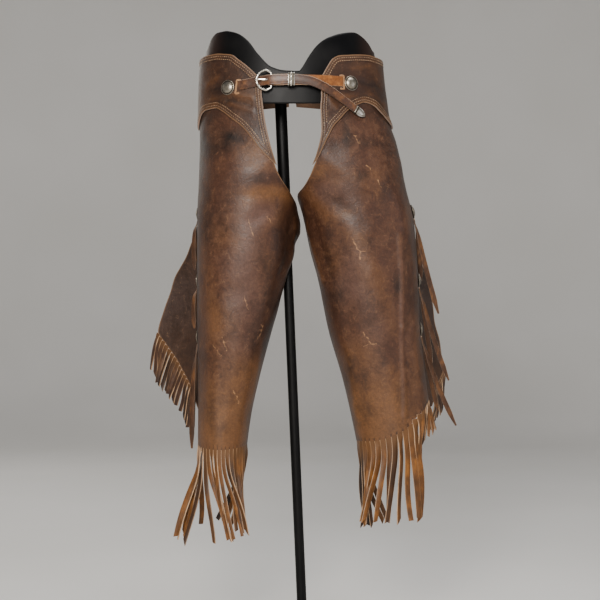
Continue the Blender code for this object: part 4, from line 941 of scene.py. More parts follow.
def leg_surface(leg, angle, height, out=0.0):
    """Points of a leg at angles and heights, moved out, with their level outward normals."""
    angle, height, out = np.broadcast_arrays(angle, height, out)
    oval = leg_oval(leg, height)
    turn = np.radians(angle)
    depth = np.where(np.sin(turn) >= 0, oval["half_front"], oval["half_back"])
    x = leg["side"] * np.cos(turn)
    y = -np.sin(turn)
    normal = unit(np.stack([x / oval["half_width"], y / depth, np.zeros_like(x)], -1))
    base = np.stack([oval["centre_x"] + oval["half_width"] * x, oval["centre_y"] + depth * y, height], -1)
    return base + normal * (out + leg_fold(leg, angle, height))[..., None], normal


def leg_height(leg, angle, nominal, cut=0.0):
    """Height of a leg's row at an angle, once the top and hem edges are shaped; cut lifts the hem."""
    top = np.clip((nominal - TOP_FADE) / (TOP_ROW - TOP_FADE), 0, None)
    low = np.clip((HEM_FADE - nominal) / (HEM_FADE - HEM_ROW), 0, None)
    return (nominal + top * (read(leg["top"], "angle", angle, "height") - TOP_ROW)
            + low * (read(leg["hem"], "angle", angle, "height") + cut - HEM_ROW))


def crease_depth(leg, angle, height):
    """Sum of the listed creases, measured round the leg in millimetres."""
    oval = leg_oval(leg, height)
    scale = math.pi / 180 * (oval["half_width"] + oval["half_front"]) / 2
    depth = np.zeros(np.broadcast(angle, height).shape)
    for crease in leg["creases"]:
        run = np.array([(crease["to_angle"] - crease["angle"]) * 1.6, crease["to_height"] - crease["height"]])
        across = (angle - crease["angle"]) * scale
        up = height - crease["height"]
        t = np.clip((across * run[0] + up * run[1]) / run.dot(run), 0, 1)
        away = np.hypot(across - run[0] * t, up - run[1] * t)
        depth += crease["depth"] * np.exp(-(away / crease["width"]) ** 2)
    return depth


def patch_marks(points, normals):
    """Tone of the leather at points of the front, as values from 0 to about 1 for each kind."""
    front = smooth_step(-normals[..., 1], -0.25, 0.25)
    marks = {}
    for kind in ("warm", "dark", "bloom"):
        value = np.zeros(points.shape[:-1])
        for patch in PATCHES:
            if patch["kind"] != kind:
                continue
            away = (((points[..., 0] - patch["x"]) / patch["wide"]) ** 2
                    + ((points[..., 2] - patch["height"]) / patch["tall"]) ** 2)
            value += patch["strength"] * np.exp(-away)
        marks[kind] = value * front
    return marks


def leg_leather(leg):
    """The leg's leather from under the yoke to the cuts of its fringe."""
    rows = 196
    columns = 128
    nominal = np.linspace(TOP_ROW, HEM_ROW, rows)[:, None]
    start = read(leg["edges"], "height", nominal, "outer")
    end = read(leg["edges"], "height", nominal, "inner")
    share = np.linspace(0, 1, columns)[None, :]
    angle = start + (end - start) * share
    height = leg_height(leg, angle, nominal, CUT_START)
    fade = smooth_step(height, 400, 440) * (1 - smooth_step(height, 1010, 1060))
    fade *= smooth_step(share, 0, 0.06) * smooth_step(1 - share, 0, 0.05)
    crease = crease_depth(leg, angle, height) * fade
    outer, normal = leg_surface(leg, angle, height, crease)
    inner, _ = leg_surface(leg, angle, height, crease - LEATHER)
    steps = np.linalg.norm(np.diff(outer, axis=1), axis=-1)
    run = np.concatenate([np.zeros((rows, 1)), np.cumsum(steps, axis=1)], axis=1)
    marks = patch_marks(outer, normal)
    marks["edge"] = np.minimum(run, run[:, -1:] - run)
    # Warmer towards the hem and on the creases' ridges; darker near the long edges, and painted shade in the creases'
    # hollows, under the yoke, towards the inner side and, by the leg's shade, towards the outer side
    marks["warm"] += 0.3 * smooth_step(-height, -520, -420) + 0.22 * np.clip(crease, 0, 2)
    marks["dark"] += 0.10 * np.clip(-crease, 0, 2.5) + 0.25 * (1 - smooth_step(marks["edge"], 2, 16))
    marks["dark"] += 0.35 * smooth_step(height, 1015, 1050) + 0.6 * smooth_step(angle, 144, 174)
    marks["dark"] += leg["shade"] * (1 - smooth_step(angle, 6, leg["shade_to"])) * smooth_step(height, 430, 560)
    # Painted shade in the cuts above the fringe: a dark line a few millimetres up each cut
    above_hem = height - leg_height(leg, angle, HEM_ROW, CUT_START)
    for number, cut in enumerate(hem_angles(leg)):
        slit = np.exp(-((angle - cut) / 1.1) ** 2) * (1 - smooth_step(above_hem, 4, 9 + steady(number, 4.0)))
        marks["dark"] += 0.9 * slit
    made = sheet_piece("leg_leather_" + leg["name"], outer, inner, LEG_FINISH,
                       ["leg_" + leg["name"]], marks)
    area = float((steps[:-1] * np.linalg.norm(np.diff(outer, axis=0), axis=-1)[:, :-1]).sum())
    return made, area


def wing_row(leg, height, spread, out):
    """Points of a wing at one height: spread runs from -1, under the leg's edge, over 0 on the
    closing line to 1 at the free edge. It waves a little more the freer it hangs."""
    edge = leg["edges"][-1]["outer"]
    hidden, _ = leg_surface(leg, edge - WING_UNDERLAP * spread[spread < 0], height, WING_OUT + out)
    start, normal = leg_surface(leg, edge, height, WING_OUT)
    heading = np.array([-leg["side"] * normal[1], leg["side"] * normal[0], 0.0])
    oval = leg_oval(leg, height)
    side_x = oval["centre_x"] + leg["side"] * oval["half_width"]
    end = np.array([side_x + leg["side"] * read(leg["wing"], "height", height, "out"),
                    start[1] + read(leg["wing"], "height", height, "back"), height])
    bend = start + heading * np.linalg.norm(end - start) * 0.45
    t = spread[spread >= 0][:, None]
    points = start * (1 - t) ** 2 + bend * 2 * t * (1 - t) + end * t ** 2
    along = unit((bend - start) * (1 - t) + (end - bend) * t)
    facing = np.stack([leg["side"] * along[:, 1], -leg["side"] * along[:, 0], 0 * along[:, 0]], -1)
    wave = t ** 1.6 * (2.4 * math.sin(height / 24 + 1.2) + 1.3 * math.sin(height / 10.5))
    return np.concatenate([hidden, points + facing * (out + wave)])


def wing_leather(leg):
    """Side wing, sewn under the leg's outer edge and swinging free behind."""
    heights = np.linspace(leg["wing"][0]["height"], leg["wing"][-1]["height"], 112)
    spread = np.concatenate([np.linspace(-1, 0, 9)[:-1], np.linspace(0, 1, 40)])
    outer = np.array([wing_row(leg, height, spread, 0.0) for height in heights])
    inner = np.array([wing_row(leg, height, spread, -LEATHER) for height in heights])
    steps = np.linalg.norm(np.diff(outer, axis=1), axis=-1)
    run = np.concatenate([np.zeros((len(heights), 1)), np.cumsum(steps, axis=1)], axis=1)
    # Warmer towards the bottom; painted shade high up and near the leg's edge, and a painted sheen growing towards the
    # free edge
    marks = {"edge": np.where(spread < 0.05, 20.0, run[:, -1:] - run),
             "warm": 0.3 * smooth_step(-heights, -620, -520)[:, None] + 0 * run,
             "dark": 0.5 * smooth_step(heights, 690, 820)[:, None] * (1 - 0.4 * np.clip(spread, 0, 1)),
             "bloom": 0.6 * np.exp(-((heights - 690) / 60) ** 2)[:, None] * np.clip(spread, 0, 1)}
    made = sheet_piece("wing_leather_" + leg["name"], outer, inner, WING_FINISH,
                       ["wing_" + leg["name"]], marks)
    area = float((steps[:-1] * np.linalg.norm(np.diff(outer, axis=0), axis=-1)[:, :-1]).sum())
    return made, area


# Fringes

def fringe_strip(root, across, face, down, hang, long, wide, number, loose, thick=LEATHER - 0.4, steps=22):
    """Grain and flesh grids of one cut strip. It leaves the leather along it, bends to its hang,
    and then twists, curls and waves a little in its own way. Loose strips turn their grain side
    to the front as they fall."""
    t = np.linspace(0, 1, steps + 1)[:, None]
    bend = smooth_step(t, 0.0, 0.42)
    curl = steady(number * 3 + 1, 0.16) * np.sin(math.pi * t * (1.1 + steady(number, 0.3)))
    cup = steady(number * 5 + 2, 0.12) * np.sin(math.pi * t * 1.5 + steady(number, 1.0))
    line = unit(down * (1 - bend) + hang * bend + (across * curl + face * cup) * smooth_step(t, 0.1, 0.5))
    middle = (line[1:] + line[:-1]) / 2
    centre = np.concatenate([root[None], root + np.cumsum(middle * long / steps, axis=0)])
    turn = (steady(number * 7 + 3, 0.55) * t ** 1.3 + steady(number * 2, 0.25) * np.sin(math.pi * t)
            + (0.35 + steady(number * 11, 0.4)) * smooth_step(t, 0.0, 0.14)) * (0.25 + 0.75 * loose)
    to_front = np.array([1.0, 0.0, 0.0]) * np.sign(np.cross(down, across).dot(face))
    swing = loose * 0.75 * smooth_step(t, 0.04, 0.5)
    base = unit(across * (1 - swing) + to_front * swing)
    outward = unit(face * (1 - swing) + FRONT * swing)
    side = base * np.cos(turn) + outward * np.sin(turn)
    side = unit(side - line * (side * line).sum(1, keepdims=True))
    facing = unit(np.cross(line, side))
    facing *= np.sign((facing * face).sum(1, keepdims=True)[:1])
    half = wide / 2 * (1 - 0.06 * t - 0.16 * t ** 3)
    u = STRIP_COLUMNS
    slant = (2.5 + steady(number * 4, 4.0)) * smooth_step(t, 0.9, 1.0)
    grain = (centre[:, None] + side[:, None] * (half * u)[..., None]
             - facing[:, None] * (0.9 * u ** 2 * smooth_step(t, 0, 0.2))[..., None]
             + line[:, None] * (slant * u)[..., None])
    # Painted shade: some strips darker than the rest, as if hanging in shade
    dark = max(0.0, steady(number * 13 + 5, 0.75))
    return grain, grain - facing[:, None] * thick, wide, dark


def hem_angles(leg):
    """Angles of the hem's cuts; the short strips at the right leg's side are narrower."""
    first = leg["edges"][-1]["outer"] + 0.4
    last = leg["edges"][-1]["inner"] - 0.4
    if leg["narrow"] is None:
        return np.linspace(first, last, 24)
    return np.concatenate([np.linspace(first, leg["narrow"], 10), np.linspace(leg["narrow"], last, 19)[1:]])


def hem_fringe(leg):
    """Fringe cut up into the hem, all the way round."""
    cuts = hem_angles(leg)
    sheets = []
    for number, (first, last) in enumerate(zip(cuts[:-1], cuts[1:])):
        height = leg_height(leg, np.array([first, last]), HEM_ROW, CUT_START)
        (left, right), _ = leg_surface(leg, np.array([first, last]), height)
        middle = (first + last) / 2
        above, face = leg_surface(leg, middle, height.mean())
        below, _ = leg_surface(leg, middle, height.mean() - 20)
        down = unit(below - above)
        long = read(leg["hang"], "angle", middle, "long") + steady(number, 6.0)
        spread = np.array([read(leg["hang"], "angle", middle, "right") + steady(number + 40, 12.0),
                           read(leg["hang"], "angle", middle, "back") + steady(number + 60, 6.0), 0.0]) / long
        wide = np.linalg.norm(right - left) * 0.94
        root = (left + right) / 2 - face * 0.15 - down * 1.2
        strip = fringe_strip(root, unit(right - left), face, down, unit(spread * 1.25 - UP), long, wide,
                             number, 1.0)
        # Painted shade: strips further round towards the inner side are darker
        sheets.append(strip[:3] + (strip[3] + 0.5 * float(smooth_step(middle, 120, 170)),))
    return joined_sheets("hem_fringe_" + leg["name"], sheets, FRINGE_FINISH,
                         ["fringe_hem_" + leg["name"]])


def wing_fringe(leg):
    """Fringe cut along the wing's lower free edge, from its corner back to the leg."""
    count = 15
    heights = np.linspace(leg["corner"], leg["fringe_low"], 60)
    ends = np.array([wing_row(leg, height, np.array([0.97, 1.0]), 0.0) for height in heights])
    edge = ends[:, 1]
    runs = unit(ends[:, 1] - ends[:, 0])
    length = np.concatenate([[0], np.cumsum(np.linalg.norm(np.diff(edge, axis=0), axis=1))])
    cuts = np.linspace(0, length[-1], count + 1)
    sheets = []
    for number, (first, last) in enumerate(zip(cuts[:-1], cuts[1:])):
        left, root, right = [np.array([np.interp(s, length, edge[:, k]) for k in range(3)])
                             for s in (first, (first + last) / 2, last)]
        run = unit(np.array([np.interp((first + last) / 2, length, runs[:, k]) for k in range(3)]))
        face = unit(np.array([leg["side"] * run[1], -leg["side"] * run[0], 0.0]))
        down = unit(-0.86 * UP + 0.5 * run)
        hang = unit(-UP + run * (leg["wing_lean"] + steady(number, 0.10)) + face * steady(number + 3, 0.10))
        sheets.append(fringe_strip(root, unit(right - left), face, down, hang,
                                   leg["strip"] + 7 + steady(number + 7, 7.0),
                                   np.linalg.norm(right - left) * 0.95, number + 90, 0.4, steps=14))
    return joined_sheets("wing_fringe_" + leg["name"], sheets, DARK_FRINGE_FINISH,
                         ["fringe_wing_" + leg["name"]])


# Yokes

STITCH_ROWS = (5.2, 10.4)  # two rows of stitching, in from the yoke's edges
STITCH_LONG = 3.4
STITCH_STEP = 4.6


def hip_angle(leg, inward, height):
    """Angle of a point that lies a distance inwards from the side; negative is behind."""
    share = np.clip(1 - np.abs(inward) / leg_oval(leg, height)["half_width"], -1, 1)
    return np.copysign(np.degrees(np.arccos(share)), inward)


def yoke_place(leg, rib, share, out):
    """Point of a yoke at a rib's number and a share of the way down it, moved out."""
    ribs = [dict(row, number=i) for i, row in enumerate(leg["ribs"])]
    at = {name: read(ribs, "number", rib, name) for name in RIBS.split()}
    height = at["top_height"] + (at["low_height"] - at["top_height"]) * share
    inward = at["top_in"] + (at["low_in"] - at["top_in"]) * share + at["bow"] * 4 * share * (1 - share)
    return leg_surface(leg, hip_angle(leg, inward, height), height, YOKE_FACE + out)


def distance_to(points, line):
    """Shortest distance of each point to a line of points."""
    flat = points.reshape(-1, 3)
    best = np.full(len(flat), 1e9)
    for place in line:
        best = np.minimum(best, np.linalg.norm(flat - place, axis=1))
    return best.reshape(points.shape[:-1])


# Drag wrinkles of the yokes' face, pulled by the belt
WRINKLE = "x height to_x to_height width depth"
WRINKLES = table(WRINKLE, [
    (-140, 1080, -92, 1068, 4.5, 1.1),
    (-144, 1068, -101, 1056, 4.0, -1.0),
    (-136, 1060, -96, 1044, 5.0, 0.9),
    (-184, 1103, -160, 1113, 5.0, 1.0),
    (-176, 1090, -152, 1094, 4.5, -0.9),
    (-176, 1072, -140, 1078, 5.0, 0.8),
    (34, 1078, 67, 1044, 4.5, 1.1),
    (46, 1082, 86, 1058, 4.5, -1.0),
    (60, 1076, 104, 1068, 5.0, 0.9),
    (92, 1126, 124, 1136, 5.0, 0.9),
    (104, 1104, 140, 1098, 5.5, -1.0),
    (120, 1084, 152, 1066, 5.0, 0.9),
])


def wrinkle_depth(points):
    """Sum of the wrinkles at points of the front, by their distance in the front view."""
    depth = np.zeros(points.shape[:-1])
    for row in WRINKLES:
        run = np.array([row["to_x"] - row["x"], row["to_height"] - row["height"]], float)
        across = points[..., 0] - row["x"]
        up = points[..., 2] - row["height"]
        t = np.clip((across * run[0] + up * run[1]) / run.dot(run), 0, 1)
        depth += row["depth"] * np.exp(-((across - run[0] * t) ** 2 + (up - run[1] * t) ** 2) / row["width"] ** 2)
    return depth * smooth_step(-points[..., 1], 0, 40)


def yoke_leather(leg):
    """Dark yoke with the raised, double-stitched border along its top, arch and front."""
    last = len(leg["ribs"]) - 1
    rib = np.linspace(0, last, 190)[None, :]
    share = np.linspace(0, 1, 46)[:, None]
    flat, normal = yoke_place(leg, *np.broadcast_arrays(rib, share), 0.0)
    fine = np.linspace(0, last, 800)
    edges = {"top": yoke_place(leg, fine, 0.0, 0.0)[0], "low": yoke_place(leg, fine, 1.0, 0.0)[0],
             "front": yoke_place(leg, 0.0, np.linspace(0, 1, 160), 0.0)[0]}
    away = {side: distance_to(flat, line) for side, line in edges.items()}
    near = np.minimum(np.minimum(away["top"], away["low"]), away["front"])
    border = 0.35 * (1 - smooth_step(near, 11.0, 13.0)) - 0.5 * (1 - smooth_step(near, 0.0, 1.4))
    for row in STITCH_ROWS:
        border = border - 0.45 * np.exp(-((near - row) / 0.9) ** 2)
    pulled = wrinkle_depth(flat) * smooth_step(near, 10, 20)
    outer, normal = yoke_place(leg, *np.broadcast_arrays(rib, share), border + np.maximum(pulled, -0.9))
    inner, _ = yoke_place(leg, *np.broadcast_arrays(rib, share), -YOKE_LEATHER)
    # Warmer between the stitch rows and in a band low on the yoke; painted highlights on the wrinkles' ridges, painted
    # shade in their hollows and in a line just inside the raised border, and a painted sheen low on the front
    marks = {"edge": near,
             "warm": (0.25 * np.exp(-((near - 7.8) / 2.6) ** 2) + 0.5 * np.clip(pulled, 0, 1.2)
                      + 0.35 * np.exp(-((outer[..., 2] - 1068) / 14) ** 2)),
             "dark": (0.35 * np.exp(-((near - 13.0) / 2.2) ** 2) + 0.6 * np.clip(-pulled, 0, 1.2)
                      + 0.5 * np.exp(-((outer[..., 0] + leg["side"] * -150) / 26) ** 2
                                     - ((outer[..., 2] - 1085) / 30) ** 2)),
             "bloom": 0.5 * np.exp(-((outer[..., 2] - 1030) / 30) ** 2) * smooth_step(-outer[..., 1], 60, 100)}
    made = sheet_piece("yoke_leather_" + leg["name"], outer, inner, YOKE_FINISH,
                       ["yoke_" + leg["name"]], marks)
    steps = np.linalg.norm(np.diff(flat, axis=1), axis=-1)
    area = float((steps[:-1] * np.linalg.norm(np.diff(flat, axis=0), axis=-1)[:, :-1]).sum())
    yoke_stitching(leg, flat, away)
    return made, area


def level_line(values, points, level, other, clear):
    """Line of points where values cross a level, one for each column of the grid, left out
    where another edge is nearer than clear."""
    line = []
    for j in range(values.shape[1]):
        column = values[:, j]
        hits = np.nonzero((column[:-1] - level) * (column[1:] - level) <= 0)[0]
        if len(hits) == 0:
            continue
        i = hits[0]
        t = (level - column[i]) / (column[i + 1] - column[i] + 1e-9)
        if other[i, j] < clear:
            continue
        line.append(points[i, j] * (1 - t) + points[i + 1, j] * t)
    return np.array(line)


def stitches_along(line, centre):
    """Grids of points for stitches set end to end along a line, seen from the outside."""
    run = np.concatenate([[0], np.cumsum(np.linalg.norm(np.diff(line, axis=0), axis=1))])
    rods = []
    for middle in np.arange(STITCH_STEP, run[-1] - STITCH_STEP, STITCH_STEP):
        ends = [np.array([np.interp(middle + step, run, line[:, k]) for k in range(3)])
                for step in (-STITCH_LONG / 2, STITCH_LONG / 2)]
        along = unit(ends[1] - ends[0])
        out = ends[0] - centre
        out[2] = 0
        out = unit(out - along * out.dot(along))
        side = np.cross(along, out)
        rings = []
        for t, thick, lift in ((0, 0.3, -0.35), (0.14, 0.62, 0.05), (0.5, 0.72, 0.22), (0.86, 0.62, 0.05), (1, 0.3, -0.35)):
            place = ends[0] * (1 - t) + ends[1] * t + out * lift
            rings.append([place + (side * math.cos(a) + out * math.sin(a) * 0.8) * thick
                          for a in np.linspace(0, 2 * math.pi, 6, endpoint=False)])
        rods.append(np.array(rings))
    return rods


def yoke_stitching(leg, flat, away):
    """Two rows of waxed thread along the top, the arch and the front of a yoke."""
    centre = np.array([float(read(leg["ovals"], "height", 1090, "centre_x")), 0.0, 0.0])
    rods = []
    for row in STITCH_ROWS:
        clear = row + 0.5
        others = np.minimum(away["low"], away["front"])
        rods += stitches_along(level_line(away["top"], flat, row, others, clear), centre)
        others = np.minimum(away["top"], away["front"])
        rods += stitches_along(level_line(away["low"][::-1], flat[::-1], row, others[::-1], clear), centre)
        others = np.minimum(away["top"], away["low"])
        rods += stitches_along(level_line(away["front"].T, flat.transpose(1, 0, 2), row, others.T, clear), centre)
    points = []
    faces = []
    for rings in rods:
        start = len(points) * rods[0].shape[0] * rods[0].shape[1]
        faces += [[k + start for k in face] for face in ring_faces(rings.shape[0], rings.shape[1])]
        points.append(rings.reshape(-1, 3))
    return mesh_piece("yoke_stitching_" + leg["name"], np.concatenate(points), faces, [0] * len(faces),
                      [thread])


# Belt, buckle and conchos

BAR_X = -61.0              # the buckle's straight bar, and how far it stands out
BAR_OUT = 5.0
BELT_HEIGHT = 1100.5
LOOP = 3.4
ON_YOKE = YOKE_FACE + LAYER_GAP + STRAP_THICK / 2
BILLET_OUT = BAR_OUT + LOOP + STRAP_THICK + LAYER_GAP


def front_place(x, height, out):
    """Place on the front of the hips at a sideways position, moved out, with its normal."""
    oval = leg_oval(LEFT, 1100)
    share = (x - oval["centre_x"]) / oval["half_width"]
    depth = oval["half_front"] * math.sqrt(1 - share * share)
    normal = unit(np.array([share / oval["half_width"], -depth / oval["half_front"] ** 2, 0.0]))
    return np.array([x, -depth, height]) + normal * out, normal


def bar_frame():
    """The buckle bar's centre, its outward normal and the level direction to its left."""
    bar, normal = front_place(BAR_X, BELT_HEIGHT, BAR_OUT)
    left = unit(np.cross(UP, normal))
    return bar, normal, left * -np.sign(left[0])


def buckle_strap():
    """Right strap: from its slot in the yoke to the buckle, folded round the bar."""
    run = [(70, ON_YOKE), (52, ON_YOKE + 0.4), (34, ON_YOKE + 1.6), (10, BAR_OUT + LOOP),
           (-20, BAR_OUT + LOOP), (-45, BAR_OUT + LOOP), (BAR_X, BAR_OUT + LOOP)]
    route = [front_place(x, BELT_HEIGHT, out) for x, out in run]
    bar, normal, left = bar_frame()
    for turn in range(20, 181, 20):
        face = normal * math.cos(math.radians(turn)) + left * math.sin(math.radians(turn))
        route.append((bar + face * LOOP, face))
    for step in (10, 24):
        route.append((bar - normal * LOOP - left * step, -normal))
    count = 170
    path = smooth_path([place for place, _ in route], count)
    faces = unit(smooth_path([place + face * 10 for place, face in route], count) - path)
    return strap_piece("buckle_strap_leather", path, faces, np.full(count, STRAP_WIDTH), STRAP_THICK,
                       STRAP_FINISH, ["buckle_strap"])


BILLET_ROUTE = table("x out height width", [
    (-121, ON_YOKE, 1093, 18), (-106, ON_YOKE + 0.3, 1095, 18), (-94, ON_YOKE + 0.4, 1097, 18),
    (-84, ON_YOKE + 1.4, 1098.4, 18), (-73, BILLET_OUT - 2.4, 1099.6, 18), (-62, BILLET_OUT, 1100.5, 18),
    (-44, BILLET_OUT, 1101.3, 17.5), (-24, BILLET_OUT, 1101.8, 17), (-6, BILLET_OUT, 1100.8, 16.5),
    (12, BILLET_OUT + 0.4, 1097.5, 16), (28, BILLET_OUT + 1.0, 1091, 15.5),
    (44, BILLET_OUT + 1.2, 1082, 15), (60, BILLET_OUT + 0.8, 1071.5, 14.5),
    (76, BILLET_OUT, 1060.5, 14), (91, BILLET_OUT - 1.5, 1050, 13.5),
])


def billet():
    """Left strap: through the buckle and the keeper, its long end falling to the right, with a
    silver tip."""
    count = 170
    route = [front_place(row["x"], row["height"], row["out"]) for row in BILLET_ROUTE]
    path = smooth_path([place for place, _ in route], count)
    faces = unit(smooth_path([place + face * 10 for place, face in route], count) - path)
    widths = np.interp(np.linspace(0, len(route) - 1, count), range(len(route)),
                       [row["width"] for row in BILLET_ROUTE])
    strap_piece("billet_leather_strap", path, faces, widths, STRAP_THICK, BILLET_FINISH,
                ["billet"])
    end = route[-1][0]
    heading = unit(end - route[-2][0])
    steps = np.linspace(0, 24.4, 40)
    widths = np.interp(steps, [0, 1.5, 3, 6, 12, 17, 21, 23.4, 24.4], [15.6, 16.4, 15.2, 15.6, 15, 12.4, 8, 4.2, 1.6])
    thick = np.interp(steps, [0, 0.8, 2.2, 3, 4.4, 5.2, 18, 23, 24.4], [3.4, 4.8, 4.8, 3.2, 3.2, 4.0, 4.6, 3.4, 2.0])
    dull = np.interp(steps, [0, 2.4, 3.4, 4.2, 5.4, 12, 24], [0.2, 0.2, 0.9, 0.9, 0.2, 0.0, 0.3])
    marks = {"dark": np.repeat(dull, len(STRAP_SECTION))}
    strap_piece("billet_tip_silver", end + heading * (0.4 + steps)[:, None], np.tile(route[-1][1], (40, 1)),
                widths, thick, (silver, silver, silver), ["billet_tip"], marks)


def slot_lining(name, x, height, tilt, reach):
    """Undyed lining that shows as a light upright bar with two feet where a strap leaves the yoke."""
    outline = [(reach, -11.6), (reach * 0.5, -12.4), (0.0, -11.6), (0.0, -7.0), (0.0, 7.0), (0.0, 11.6),
               (reach * 0.5, 12.4), (reach, 11.6)]
    route = [front_place(x + tilt * up + along, height + up, YOKE_FACE + 1.2) for along, up in outline]
    path = smooth_path([place for place, _ in route], 60)
    faces = unit(smooth_path([face for _, face in route], 60))
    return strap_piece(name, path, faces, np.full(60, 3.6), 2.2, (slot_tan, slot_tan, slot_tan))


def buckle_frame():
    """D-shaped frame of round wire; its straight side is the bar inside the strap's loop."""
    wire = 1.9
    ahead = 26.0
    tilt = 7.2
    bar, normal, left = bar_frame()
    outline = [(0.0, height) for height in np.linspace(14, -14, 14)]
    for turn in np.radians(np.linspace(-78, 78, 42)):
        outline.append((2 + (ahead - 2) * math.cos(turn) ** 0.8, 19.0 * math.sin(turn)))
    centres = np.array([bar + left * x + normal * tilt * x / ahead + UP * z for x, z in outline])
    along = unit(np.roll(centres, -1, axis=0) - np.roll(centres, 1, axis=0))
    side = unit(np.cross(along, normal))
    face = np.cross(side, along)
    turns = np.linspace(0, 2 * math.pi, 14, endpoint=False)
    rings = (centres[:, None] + (side[:, None] * np.cos(turns)[:, None] * 1.12
                                 + face[:, None] * np.sin(turns)[:, None]) * wire)
    faces = ring_faces(len(rings), 14, loop=True)
    return mesh_piece("buckle_frame_silver", rings.reshape(-1, 3), faces, [0] * len(faces), [silver],
                      ["buckle_frame"])


def buckle_tongue():
    bar, normal, left = bar_frame()
    steps = [(2.6, 1.2), (4.4, 6.0), (7.0, 9.6), (14.0, 11.2), (21.0, 11.6), (28.5, 10.6)]
    path = smooth_path([bar + left * along + normal * out for along, out in steps], 40)
    widths = np.interp(np.linspace(0, 1, 40), [0, 0.5, 0.93, 1], [3.4, 3.1, 2.4, 1.4])
    return strap_piece("buckle_tongue_silver", path, np.tile(normal, (40, 1)), widths, 1.9,
                       (silver, silver, silver), ["buckle_tongue"])


def keeper():
    """Stamped silver loop round both straps: three ribs, the middle one beaded."""
    middle, normal = front_place(-24, BELT_HEIGHT + 0.6, (BAR_OUT + LOOP + BILLET_OUT) / 2)
    across = unit(np.cross(UP, normal))
    turn = np.linspace(0, 2 * math.pi, 72, endpoint=False)
    power = 0.42
    up = np.sign(np.sin(turn)) * np.abs(np.sin(turn)) ** power
    out = np.sign(np.cos(turn)) * np.abs(np.cos(turn)) ** power
    share = np.linspace(-1, 1, 19)[:, None]
    rib = 0.75 * (np.exp(-((np.abs(share) - 0.82) / 0.14) ** 2) + 1.2 * np.exp(-(share / 0.2) ** 2))
    beads = 1 + 0.35 * np.cos(turn * 26) * np.exp(-(share / 0.2) ** 2)
    grids = []
    for extra in (rib * beads, 0 * rib * beads - 1.3):
        grids.append(middle + across * (6.4 * share)[..., None] + UP * ((12.0 + extra) * up)[..., None]
                     + normal * ((5.0 + extra) * out)[..., None])
    dull = 0.9 * np.exp(-((np.abs(share) - 0.48) / 0.14) ** 2) + 0 * beads
    return sheet_piece("keeper_silver", grids[0], grids[1], (silver, silver, silver),
                       ["keeper"], {"dark": dull}, closed=True)


# Concho: radius, height and how dull the silver is there
CONCHO = table("radius height dull", [
    (0.0, 0.0, 0.4), (13.6, 0.0, 0.4), (14.1, 0.5, 0.2), (14.1, 1.1, 0.1), (13.6, 1.6, 0.0), (12.9, 1.7, 0.2),
    (12.2, 1.35, 0.9), (11.6, 1.4, 0.9), (11.0, 1.95, 0.3), (9.8, 2.9, 0.1), (8.2, 3.75, 0.0),
    (6.2, 4.5, 0.0), (4.0, 5.0, 0.0), (2.0, 5.25, 0.0), (0.6, 5.3, 0.0), (0.0, 5.3, 0.0),
])


def concho(name, node, centre, normal):
    """Domed silver button with a rolled rim."""
    return turned_piece(name, [(row["radius"], row["height"]) for row in CONCHO], centre, normal, pewter,
                        [node], dull=[row["dull"] for row in CONCHO], sharp=60.0)


def leg_seat(leg, angle, height, out):
    """Place for a hard round piece that sits square on the leg's face, moved out."""
    place, level = leg_surface(leg, angle, height)
    round_leg = leg_surface(leg, angle + 3, height)[0] - leg_surface(leg, angle - 3, height)[0]
    down_leg = leg_surface(leg, angle, height + 6)[0] - leg_surface(leg, angle, height - 6)[0]
    normal = unit(np.cross(round_leg, down_leg))
    normal = normal * np.sign(normal.dot(level))
    return place + normal * out, normal


def leg_angle(leg, place):
    """Angle round the leg of a place near it."""
    oval = leg_oval(leg, place[2])
    forward = oval["centre_y"] - place[1]
    depth = oval["half_front"] if forward >= 0 else oval["half_back"]
    outward = leg["side"] * (place[0] - oval["centre_x"])
    return math.degrees(math.atan2(forward / depth, outward / oval["half_width"]))


# Ties and straps round the leg

def tie_string(leg, name, centre, normal, start, row, end):
    """Flat string end that leaves the concho's lower rim and hangs to a pointed end."""
    count = 22
    thick = 2.0
    back, out, long, width = row[end + "_back"], row[end + "_out"], row[end + "_long"], row["width"]
    outward = np.array([leg["side"], 0.0, 0.0])
    level = unit(np.cross([0, 0, leg["side"]], normal))
    down = np.cross(normal, level) * -leg["side"]
    near = centre + level * start + down * (CONCHO_RADIUS + 1.3)
    root, face = leg_seat(leg, leg_angle(leg, near), near[2], ROOT_GAP + thick / 2)
    t = np.linspace(0, 1, count)[:, None]
    path = (root + face * (4.4 * smooth_step(t, 0, 0.2) + 4.0 * np.sin(math.pi * t)) - FRONT * (back - start) * t ** 0.8
            + outward * out * t ** 1.6 - UP * long * t)
    turn = np.radians(15 + 60 * np.sqrt(t))
    turned = outward * np.cos(turn) + FRONT * np.sin(turn)
    reach = smooth_step(t, 0, 0.3)
    faces = unit(face * (1 - reach) + turned * reach)
    widths = width * np.where(t < 0.85, 1.0, 1 - 4.5 * (t - 0.85)).ravel()
    # Painted shade: the left leg's strings take the darker flesh finish on their cut edges
    finish = TIE_FINISH if leg is RIGHT else (tie_grain, flesh_side, flesh_side)
    made = strap_piece(name, path, faces, widths, thick, finish,
                       ["tie_" + name.removeprefix("tie_string_")])
    return made


